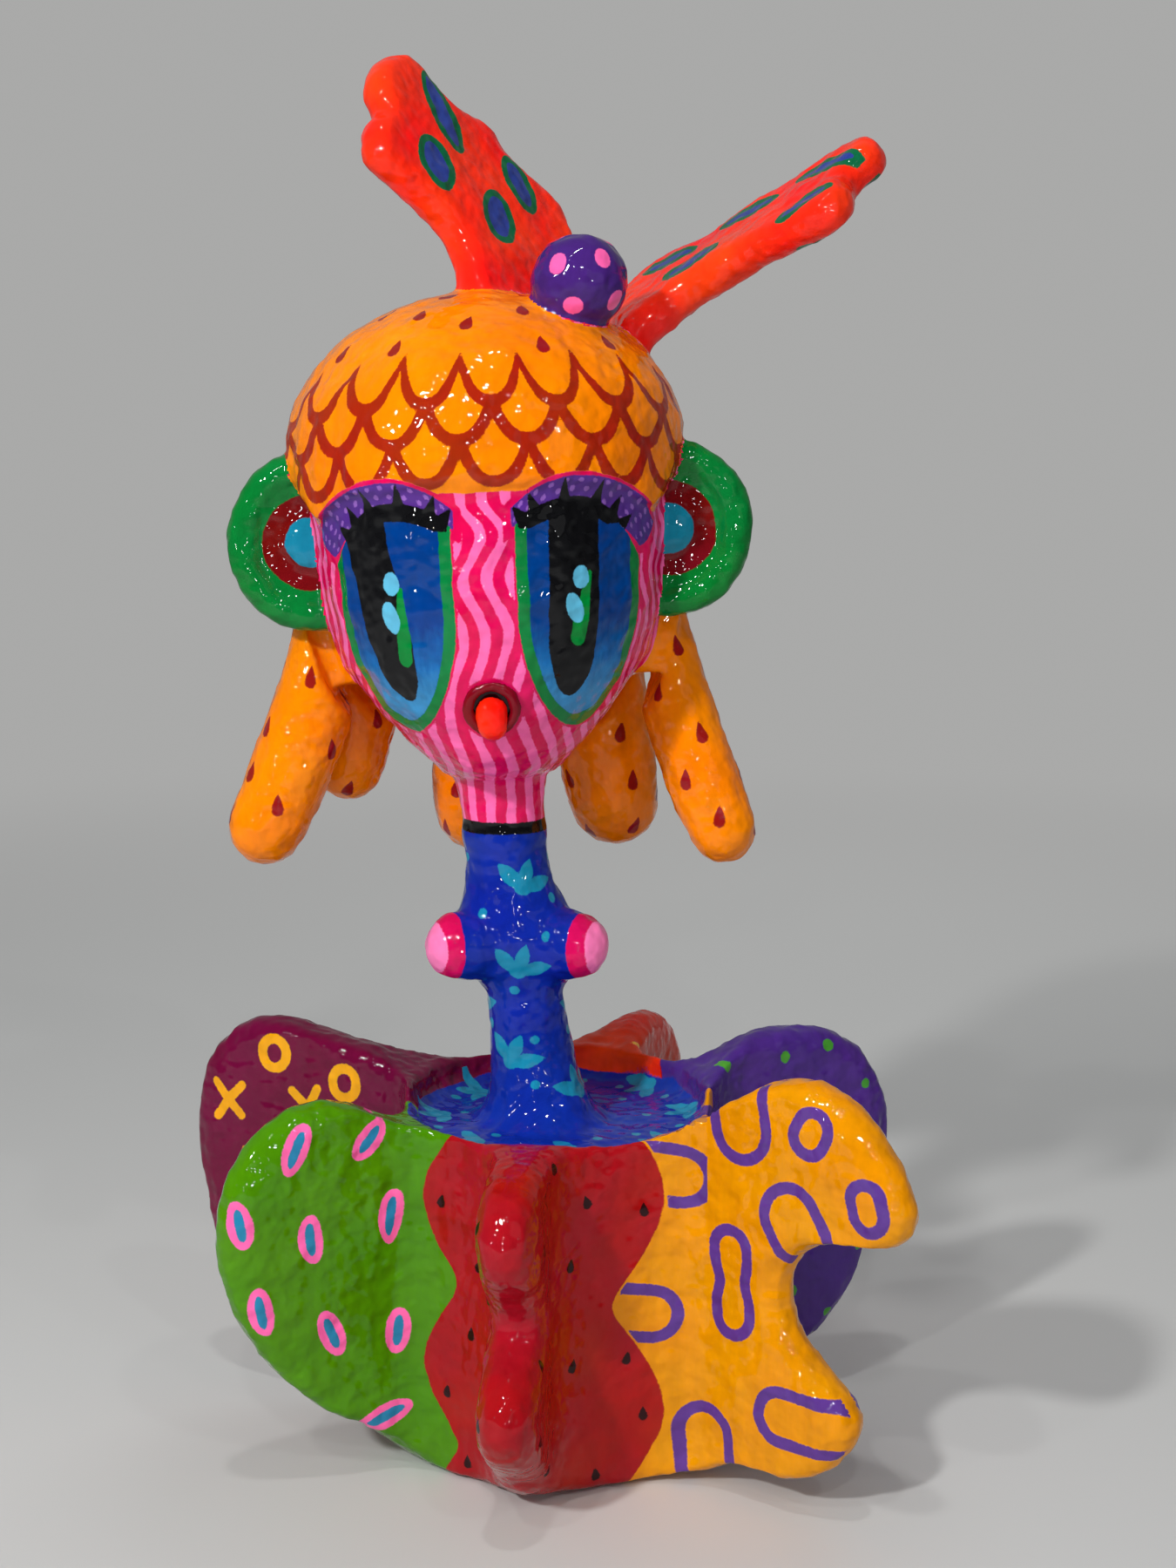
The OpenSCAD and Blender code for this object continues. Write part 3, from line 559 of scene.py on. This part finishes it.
def lash_marks():
    """The lid's dark edge with its lashes."""
    d = np.maximum.reduce([v - lash_top, np.maximum(-17.5, lash_top - 7) - v, 14 - au])
    for foot, lean, long in LASHES:
        across, along = turned(au - foot, v - lash_line(foot, -6.8), lean)
        lash = np.abs(across) - 2.7*(1 - along/long) + np.maximum(along - long, 0)
        d = np.minimum(d, np.where(along > -1, lash, OFF))
    return d


def pupil_mark():
    """The pupil, which leans outwards in the eye on the -X side."""
    rise = np.clip((v + 85)/70, 0, 1)
    middle = np.where(u < 0, 39 + 14*rise, 36 + 2*rise)
    return np.maximum(ellipse(au - middle, np.minimum(v + 58, 0), 11.4, 27), v - lash_top + 1)


def glint_marks():
    """Two painted glints in each eye: the lower one leans."""
    left = np.minimum(ellipse(au - 40, v + 37.5, 3.8, 4.6),
                      ellipse(*turned(au - 41.5, v + 50.7, -14), 3.8, 6.6))
    right = np.minimum(ellipse(au - 40, v + 37.4, 3.8, 4.6),
                       ellipse(*turned(au - 37, v + 49.3, 22), 3.6, 6.2))
    return np.where(u > 0, right, left)


def stroke_marks():
    """A green stroke in each pupil, which swells downwards."""
    left = capsule(au, v, (36.2, -40), (36.4, -67), 1.2 + 2.3*np.clip((-40 - v)/20, 0, 1))
    right = capsule(au, v, (44, -36), (38.5, -61), 1.2 + 2.2*np.clip((-36 - v)/20, 0, 1))
    return np.where(u > 0, right, left)


def eye_layers():
    """What is painted on the front of the face round the eyes."""
    iris = np.maximum(eye_side + 4.9 + 1.4*np.clip((au - 43)/30, 0, 1), v - lash_top + 2)
    marks = {"lid": (lid, 0.6), "eye": (eye, 0.7), "iris": (iris, 0.7), "pupil": (pupil_mark(), 1),
             "glint": (glint_marks(), 0.5), "stroke": (stroke_marks(), 0.5),
             "lash": (lash_marks(), 0.4)}
    return {name: np.where(front & (hy < 0), d + shake*wobble, OFF)
            for name, (d, shake) in marks.items()}


def liddot_marks(lid_layer):
    """Rows of pale dots on the lids, each row shifted by half a step."""
    row_h, step = 3.6, 6.2
    below = (lid_top - v)/row_h
    row = np.floor(below)
    d = np.hypot((au + step/2*row) % step - step/2, row_h*(below - row - 0.5)) - 1.15
    return np.where(below > 0, np.maximum(d, lid_layer + 0.8), OFF)


lips_at = np.hypot(hx, hz + 88)         # from the middle of the mouth


def stripe_marks():
    """Wavy stripes down the face, whose waves grow longer downwards and end over the neck."""
    pitch = 9.0
    across = rho*turn
    down = np.maximum(-20 - hz, -14)
    phase = 2*np.pi*down/(30 + 0.22*down) + 0.5*np.sin(across/29)
    waves = 3.8*np.cos(phase)*np.clip((hz + 122)/8, 0, 1)
    stripe = np.abs((across - waves + 1.4*wobble) % pitch - pitch/2) - 2.15
    off_lid = 3.2 - np.where(front & (v < 10), lid, OFF)
    return np.maximum.reduce([stripe, off_lid, 1 - eye, 12.5 - lips_at])


def hair_mark():
    """All the hair: its edge drops straight between the lids and runs over them."""
    d = np.where(front & (hy < 0) & (au < 45), np.minimum(HAIR_LINE, -3.5 - v), HAIR_LINE)
    over_lids = np.where(front & (v < 20) & (v > -40), lid_top + 1.5 - v, -OFF)
    return np.maximum(d, over_lids) + wobble


# Each row of scales over the brow: the height of its feet and the rise of its points
SCALE_ROWS = [(31.5, 17), (16.8, 15.5), (0.8, 16.5)]
SCALE_TURN = 20.5       # degrees from scale to scale
face_turn = np.degrees(turn)


def scale_marks(hair):
    """The lines of pointed scales; each row ends at the row over it."""
    d = np.full(len(co), OFF)
    ceiling = 99.0
    for k, (foot, rise) in enumerate(SCALE_ROWS):
        share = np.abs(2*((face_turn/SCALE_TURN + 0.5*k + 0.27) % 1) - 1)
        curve = foot + rise*share**2.4 - 0.0011*face_turn**2
        slope = rise*2.4*share**1.4*2/(SCALE_TURN*math.pi/180*HEAD_R)
        thick = 2.45 - (1.3 if k == 0 else 0.3)*share**3
        line = np.abs(hz - curve)/np.sqrt(1 + slope**2) - thick
        d = np.minimum(d, np.maximum(line, hz - ceiling))
        ceiling = curve
    d = np.maximum(d, np.abs(face_turn) - 88)
    return np.maximum(np.where(of_nodes("hair", "head", "ear"), d, OFF) + 0.7*wobble, hair)


def drop_marks(hair):
    """Seeds on the crown, the back of the cap and the locks."""
    crown = of_nodes("hair") & ((hz > 53) | ((np.abs(face_turn) > 96) & (hz > -60)))
    seeds = scatter((crown | of_nodes("lock")) & (hair < -4), 20, (-34, -45, 475))
    return np.maximum(stamp(seeds, drop, reach=9), hair)


HEAD_PAINT = {"hair": hair_mark(), "stripe": stripe_marks()}
HEAD_PAINT.update(eye_layers())
HEAD_PAINT["liddot"] = liddot_marks(HEAD_PAINT["lid"])
HEAD_PAINT["low"] = v + 63              # the iris grows paler downwards, twice
HEAD_PAINT["foot"] = v + 77
HEAD_PAINT["scale"] = scale_marks(HEAD_PAINT["hair"])
HEAD_PAINT["drop"] = drop_marks(HEAD_PAINT["hair"])
HEAD_PAINT["black"] = np.where((rho < 40) & (hz < -120), height - 272, OFF) + 0.5*wobble
# Painted shade: a near-black disc inside the lips' ring stands for the shadowed mouth opening, which
# the solid face does not have
HEAD_PAINT["mouth"] = np.where(front, lips_at - 9, OFF)

# ---------------------------------------------------------------- the ears
from_ear = np.hypot(np.abs(hx) - EAR_X, hz - EAR_Z)
behind = np.where(hy < -4, 0, OFF)
EAR_PAINT = {"pad": from_ear - 19.5 + wobble + behind, "boss": from_ear - 10.3 + wobble + behind}

# ---------------------------------------------------------------- the bow's wings and knob
# The ovals on both flat sides of a wing: place along and across it, lean and half sizes
WING_OVALS = {
    "wing_left": [(30, 9, 14, 7, 18), (15, -15, 22, 9, 12), (-12, 24, 14, 7.5, 13),
                  (-18, -2, 32, 9, 12)],
    "wing_right": [(45, 5, -14, 6, 15), (36, -21, 10, 6, 13), (6, 10, -8, 6, 15),
                   (-22, -7, 0, 7.2, 14), (-36, 14, -10, 6, 14)],
}


def wing_marks(name, rows):
    """The ovals of a wing, laid out along the main axes of its solid."""
    d = np.full(len(co), OFF)
    middle = cad[name][0].mean(axis=0)
    along, across, flat = np.linalg.svd(cad[name][0] - middle, full_matrices=False)[2]
    along = along*np.sign(along[2])
    across = across*np.sign(across[2])
    for side in (-1, 1):
        here = np.flatnonzero(of_nodes(name) & (smooth_normals @ flat*side > 0.8))
        for far, aside, lean, wide, high in rows:
            away = co[here] - (middle + far*along + aside*across)
            away -= (away @ flat)[:, None]*flat
            nearest = here[np.argmin((away**2).sum(axis=1))]
            mark = stamp([nearest], oval, up=along, turns=[lean*side], wide=wide, high=high)
            d = np.minimum(d, mark)
    return d


ovals = np.minimum.reduce([wing_marks(name, rows) for name, rows in WING_OVALS.items()])
knob = border(("bow_knob",), ("wing", "hair"))
WING_PAINT = {
    "mark": np.where(of_nodes("wing"), ovals + wobble, OFF),
    "core": np.where(of_nodes("wing"), ovals + 3.4 + 0.8*wobble, OFF),
    "knob": knob + wobble,
    "hair": border(("hair",), ("wing", "bow_knob")) + wobble,
    "dot": stamp(scatter(of_nodes("bow_knob") & (knob < -5), 17, (5, -30, 495)), spot,
                 reach=9, radius=3.9),
}

# ---------------------------------------------------------------- shader nodes


def node(tree, kind, values=(), **settings):
    """A shader node with its settings and the values of its named or numbered inputs."""
    n = tree.nodes.new(kind)
    for key, value in settings.items():
        setattr(n, key, value)
    for key, value in dict(values).items():
        if isinstance(value, bpy.types.NodeSocket):
            tree.links.new(value, n.inputs[key])
        else:
            n.inputs[key].default_value = value
    return n


def noise_node(tree, scale, detail=2.0, rough=0.5, stretch=None):
    """Noise with a scale in lumps per m; a stretch below 1 draws them out along that axis."""
    where = node(tree, "ShaderNodeTexCoord").outputs["Object"]
    if stretch:
        where = node(tree, "ShaderNodeMapping", {"Vector": where, "Scale": stretch}).outputs[0]
    values = {"Vector": where, "Scale": scale, "Detail": detail, "Roughness": rough}
    return node(tree, "ShaderNodeTexNoise", values).outputs["Fac"]


def math_node(tree, operation, a, b):
    return node(tree, "ShaderNodeMath", {0: a, 1: b}, operation=operation).outputs[0]


def ramp(tree, value, low, high, to_low, to_high, **settings):
    values = {"Value": value, "From Min": low, "From Max": high, "To Min": to_low, "To Max": to_high}
    return node(tree, "ShaderNodeMapRange", values, **settings).outputs[0]


def spread(tree, value, low, high):
    """A noise, which hardly leaves 0.3 to 0.7, made to run from low to high."""
    return ramp(tree, value, 0.3, 0.7, low, high)


def mixed(tree, share, a, b):
    """Colour a where the share is 0, and b where it is 1."""
    return node(tree, "ShaderNodeMix", {0: share, 6: a, 7: b}, data_type="RGBA").outputs[2]


def mixed_shaders(tree, share, a, b):
    return node(tree, "ShaderNodeMixShader", {0: share, 1: a, 2: b}).outputs[0]


def bump(tree, strength, depth, heights):
    """The normal of dents with a depth in m."""
    values = {"Strength": strength, "Distance": depth, "Height": heights}
    return node(tree, "ShaderNodeBump", values).outputs[0]


def new_material(name):
    """A material with its tree, its shader and the output's input that the shader is linked to."""
    material = bpy.data.materials.new(name)
    material.use_nodes = True
    tree = material.node_tree
    tree.nodes.clear()
    shader = node(tree, "ShaderNodeBsdfPrincipled")
    output = node(tree, "ShaderNodeOutputMaterial", {"Surface": shader.outputs[0]})
    return material, tree, shader, output.inputs["Surface"]


# ---------------------------------------------------------------- materials


def colour(red, green, blue):
    """A screen colour (0 to 255) as the shader wants it."""
    out = []
    for c in (red, green, blue):
        c /= 255
        out.append(c/12.92 if c <= 0.04045 else ((c + 0.055)/1.055)**2.4)
    return (*out, 1)


EDGE = 0.22         # half the width of a painted edge, in mm
# Scales of the paint's noises, in lumps per m
RAGGED, BRUSHED, STREAKS, PATCHES, HUES = 900, 420, 190, 42, 25
WIDE_DENTS, SMALL_DENTS, BEADS = 95, 175, 230
BEAD_H = 0.00055    # the height of the varnish's beads, in m
VARNISH = {"Coat Weight": 1.0, "Coat Roughness": 0.03, "Coat IOR": 1.32, "Specular IOR Level": 0.0}


def layer_share(tree, layer, ragged, shares):
    """How far a layer covers: 1 inside its mark. A layer that fades, with half the width of the
    fade in mm and the layer that it stays in, has its edge brushed out downwards."""
    attribute, _, *fade = layer
    d = node(tree, "ShaderNodeAttribute", attribute_name=attribute).outputs["Fac"]
    if not fade:
        return ramp(tree, math_node(tree, "ADD", d, ragged), -EDGE, EDGE, 1, 0)
    soft, within = fade
    brushed = ramp(tree, noise_node(tree, BRUSHED, 3, 0.6, (1, 1, 0.16)), 0, 1, -soft, soft)
    share = ramp(tree, math_node(tree, "ADD", d, brushed), -soft, soft, 1, 0)
    return math_node(tree, "MULTIPLY", share, shares[within])


def painted(name, base, layers=(), dent=0.0011):
    """Hand-painted paper under clear varnish. A layer is (attribute, colour) or (attribute, colour,
    fade, layer it stays in); each lies over those before it. Dents are given in m."""
    material, tree, shader, _ = new_material(name)
    ragged = ramp(tree, noise_node(tree, RAGGED, 1), 0, 1, -0.35, 0.35)
    streaks = noise_node(tree, STREAKS, 3, 0.6, (1, 1, 0.25))
    tone, shares = base, {}
    for layer in layers:
        shares[layer[0]] = layer_share(tree, layer, ragged, shares)
        tone = mixed(tree, shares[layer[0]], tone, layer[1])
    value = math_node(tree, "MULTIPLY", spread(tree, noise_node(tree, PATCHES, 2), 0.93, 1.06),
                      spread(tree, streaks, 0.93, 1.05))
    hue = spread(tree, noise_node(tree, HUES, 1), 0.496, 0.504)
    shade = node(tree, "ShaderNodeHueSaturation", {"Hue": hue, "Value": value, "Color": tone})
    shader.inputs["Base Color"].default_value = base
    tree.links.new(shade.outputs[0], shader.inputs["Base Color"])
    tree.links.new(spread(tree, streaks, 0.3, 0.45), shader.inputs["Roughness"])
    for key, setting in VARNISH.items():
        shader.inputs[key].default_value = setting
    dents = math_node(tree, "ADD", noise_node(tree, SMALL_DENTS, 1), noise_node(tree, WIDE_DENTS, 1))
    tree.links.new(bump(tree, 1.0, dent, dents), shader.inputs["Normal"])
    beads = bump(tree, 1.0, BEAD_H, noise_node(tree, BEADS, 0))
    tree.links.new(beads, shader.inputs["Coat Normal"])
    return material


def plain_core(name, dark, light, stretch, scale, rough, metal=0.0):
    """The hidden wood, card and wire: streaks between two colours."""
    material, tree, shader, _ = new_material(name)
    streaks = noise_node(tree, scale, 4, 0.6, stretch)
    tone = mixed(tree, spread(tree, streaks, 0, 1), dark, light)
    tree.links.new(tone, shader.inputs["Base Color"])
    roughness = spread(tree, streaks, rough - 0.08, rough + 0.08)
    tree.links.new(roughness, shader.inputs["Roughness"])
    shader.inputs["Metallic"].default_value = metal
    tree.links.new(bump(tree, 0.5, 0.0002, streaks), shader.inputs["Normal"])
    return material


BLACK, BLUE = colour(14, 14, 16), colour(14, 44, 154)
CRIMSON, PINK = colour(220, 8, 84), colour(254, 104, 172)
HAIR = colour(246, 130, 1)

foot_paint = painted("foot_paint", colour(164, 16, 20), [
    ("s_yellow", colour(226, 144, 2)), ("s_purple", colour(72, 40, 126)),
    ("s_orange", colour(220, 46, 16)), ("s_maroon", colour(108, 11, 54)),
    ("s_green", colour(74, 136, 5)), ("blue", BLUE),
    ("oval", PINK), ("core", colour(40, 130, 172)), ("loop", colour(92, 56, 138)),
    ("gold", colour(240, 166, 12)), ("dot", colour(70, 150, 50)), ("seed", colour(40, 8, 12)),
    ("pale", colour(252, 180, 40)), ("leaf", colour(26, 136, 170)),
    ("ring", colour(214, 14, 92)), ("tip", colour(254, 126, 186)), ("black", BLACK)])
head_paint = painted("head_paint", CRIMSON, [
    ("stripe", PINK), ("hair", HAIR), ("drop", colour(146, 22, 20)), ("scale", colour(158, 38, 12)),
    ("lid", colour(82, 44, 134)), ("liddot", colour(140, 92, 180)), ("eye", colour(8, 122, 58)),
    ("iris", colour(0, 58, 130)), ("low", colour(14, 100, 168), 9.0, "iris"),
    ("foot", colour(56, 138, 194), 7.0, "iris"), ("pupil", BLACK), ("stroke", colour(0, 128, 50)),
    # the mouth's near black is painted shade inside the lips' ring
    ("glint", colour(92, 180, 212)), ("lash", BLACK), ("mouth", colour(30, 4, 10)), ("black", BLACK)])
ear_paint = painted("ear_paint", colour(6, 116, 46), [
    ("pad", colour(112, 11, 18)), ("boss", colour(22, 130, 160))])
wing_paint = painted("wing_paint", colour(250, 46, 20), [
    ("mark", colour(14, 98, 60)), ("core", colour(44, 62, 140)), ("hair", HAIR),
    ("knob", colour(66, 34, 116)), ("dot", colour(250, 98, 172))])
lips_paint = painted("lips_paint", colour(120, 4, 18), dent=0.0002)
tongue_paint = painted("tongue_paint", colour(250, 36, 8), dent=0.0002)

wood = plain_core("core_wood", colour(150, 112, 70), colour(196, 160, 112), (1, 1, 0.1), 120, 0.6)
board = plain_core("core_board", colour(150, 118, 82), colour(184, 152, 112), (1, 1, 1), 400, 0.8)
wire = plain_core("core_wire", colour(120, 120, 124), colour(168, 168, 172), (1, 1, 0.2), 500, 0.4, 1.0)
for name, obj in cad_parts.items():
    if name not in NAMES and name not in ("lips", "tongue"):
        for slot in obj.material_slots:
            slot.material = board if name.startswith("board") else wire if "wire" in name else wood

# ---------------------------------------------------------------- pieces


def add_piece(name, co, quads, normals, fields, material):
    """A mesh piece that stands for its node; the fields become its paint's attributes."""
    used, index = np.unique(quads, return_inverse=True)
    mesh = bpy.data.meshes.new(name)
    mesh.from_pydata((co[used]*MM).tolist(), [], index.reshape(quads.shape).tolist())
    mesh.polygons.foreach_set("use_smooth", [True]*len(mesh.polygons))
    mesh.normals_split_custom_set_from_vertices(normals[used].tolist())
    for key, values in fields.items():
        attribute = mesh.attributes.new(key, "FLOAT", "POINT")
        attribute.data.foreach_set("value", values[used].astype(np.float32))
    piece = bpy.data.objects.new(name, mesh)
    scene.collection.objects.link(piece)
    mesh.materials.append(material)
    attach(piece, "root")
    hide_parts(name.removesuffix("_skin"))


def paint_of(name):
    """The distances and the paint that a node's skin takes."""
    if name in ("head", "hair_cap") or name.startswith("lock"):
        return HEAD_PAINT, head_paint
    if name.startswith("ear"):
        return EAR_PAINT, ear_paint
    if name.startswith(("wing", "bow")):
        return WING_PAINT, wing_paint
    return FOOT_PAINT, foot_paint


co += smooth_normals*lumps(co)[:, None]
co[:, 2] = np.maximum(co[:, 2], 0)
skin_normals = normals_of(co, quads)
for k, name in enumerate(NAMES):
    fields, material = paint_of(name)
    add_piece(name + "_skin", co, quads[owner == k], skin_normals, fields, material)

for name, slot, material in (("lips", "paint_dark_red", lips_paint),
                             ("tongue", "paint_orange_red", tongue_paint)):
    small, faces = remeshed([mesh_arrays(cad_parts[name].data)], SMALL_VOXEL)
    small = smoothed(small, faces, rounds=12)
    relief = 0.25*noise(small, 4, 21) + 0.12*noise(small, 2, 22)
    small += normals_of(small, faces)*relief[:, None]
    add_piece(name + "_skin", small, faces, normals_of(small, faces), {}, material)

# ---------------------------------------------------------------- camera, lamps, world and floor
SENSOR, LENS = 36.0, 52.0                       # mm
CAMERA_PLACE = (0.01286, -0.946, 0.4228)
CAMERA_DIP = 8.23                               # degrees below the level
AIM = (0, 0, 0.3)                               # all lamps look here
# Each lamp: place and size in m, power in W. The sparks are there so that the varnish glints.
LAMPS = {
    "key": ((-0.85, -1.25, 1.15), 0.12, 18),
    "fill": ((1.1, -1.5, 0.9), 1.0, 1.0),
    "top": ((-0.1, -0.5, 1.9), 0.1, 4),
    "back": ((0.3, 1.6, 1.2), 1.2, 7),
    "spark_left": ((-0.6, -1.05, 1.55), 0.06, 2.5),
    "spark_middle": ((0, -1.5, 1.2), 0.06, 2.5),
    "spark_high": ((0.6, -1.3, 1.5), 0.06, 2),
    "spark_low": ((-1.1, -1.15, 0.5), 0.06, 1.6),
    "spark_right": ((0.7, -1.4, 0.5), 0.06, 1.4),
    "spark_nose": ((-0.05, -1.6, 0.53), 0.06, 0.8),
    "spark_floor": ((-0.1, -1.5, 0.26), 0.06, 0.6),
}
UNMIRRORED = ("back",)                          # nothing mirrors these
BACKDROP = (0.4, 0.4, 0.395, 1)
AMBIENT_COLOUR, AMBIENT = (0.9, 0.95, 1, 1), 0.21
FLOOR_COLOUR = (0.61, 0.61, 0.595, 1)
FLOOR_HALF = 8
HORIZON = (0.45, 2.2)                           # m from the middle: the floor becomes the backdrop


def add_camera():
    data = bpy.data.cameras.new("camera")
    data.sensor_width = SENSOR
    data.lens = LENS
    camera = bpy.data.objects.new("camera", data)
    camera.location = CAMERA_PLACE
    camera.rotation_euler = (math.radians(90 - CAMERA_DIP), 0, 0)
    scene.collection.objects.link(camera)
    scene.camera = camera


def add_lamp(name, place, size, power):
    data = bpy.data.lights.new(name, "AREA")
    data.shape = "DISK"
    data.size = size
    data.energy = power
    lamp = bpy.data.objects.new(name, data)
    lamp.location = place
    lamp.rotation_euler = (Vector(AIM) - Vector(place)).to_track_quat("-Z", "Y").to_euler()
    lamp.visible_glossy = name not in UNMIRRORED
    scene.collection.objects.link(lamp)


def add_world():
    """Soft light all round, a plain backdrop, and a room for the varnish to mirror that is darker
    in front."""
    world = bpy.data.worlds.new("studio")
    scene.world = world
    world.use_nodes = True
    tree = world.node_tree
    tree.nodes.clear()
    rays = node(tree, "ShaderNodeLightPath").outputs
    seen = math_node(tree, "MAXIMUM", rays["Is Camera Ray"], rays["Is Transmission Ray"])
    where = node(tree, "ShaderNodeTexCoord").outputs["Generated"]
    towards_back = node(tree, "ShaderNodeSeparateXYZ", {0: where}).outputs["Y"]
    room = ramp(tree, towards_back, -0.3, 0.5, 0.1, 0.6)
    ambient, mirrored, backdrop = (
        node(tree, "ShaderNodeBackground", {"Color": tint, "Strength": strength}).outputs[0]
        for tint, strength in ((AMBIENT_COLOUR, AMBIENT), (BACKDROP, room), (BACKDROP, 1.0)))
    light = mixed_shaders(tree, rays["Is Glossy Ray"], ambient, mirrored)
    surface = mixed_shaders(tree, seen, light, backdrop)
    node(tree, "ShaderNodeOutputWorld", {"Surface": surface})


def add_floor():
    """A pale floor that fades into the backdrop where only the camera sees it."""
    mesh = bpy.data.meshes.new("floor")
    h = FLOOR_HALF
    mesh.from_pydata([(-h, -h, 0), (h, -h, 0), (h, h, 0), (-h, h, 0)], [], [(0, 1, 2, 3)])
    floor = bpy.data.objects.new("floor", mesh)
    scene.collection.objects.link(floor)
    material, tree, shader, surface = new_material("floor")
    shader.inputs["Base Color"].default_value = FLOOR_COLOUR
    shader.inputs["Roughness"].default_value = 0.6
    where = node(tree, "ShaderNodeTexCoord").outputs["Object"]
    far = node(tree, "ShaderNodeVectorMath", {0: where}, operation="LENGTH").outputs["Value"]
    rays = node(tree, "ShaderNodeLightPath").outputs
    fade = math_node(tree, "MULTIPLY", rays["Is Camera Ray"],
                     ramp(tree, far, *HORIZON, 0, 1, interpolation_type="SMOOTHSTEP"))
    glow = node(tree, "ShaderNodeEmission", {"Color": BACKDROP}).outputs[0]
    tree.links.new(mixed_shaders(tree, fade, shader.outputs[0], glow), surface)
    mesh.materials.append(material)


add_camera()
add_world()
for name, lamp in LAMPS.items():
    add_lamp(name, *lamp)
add_floor()
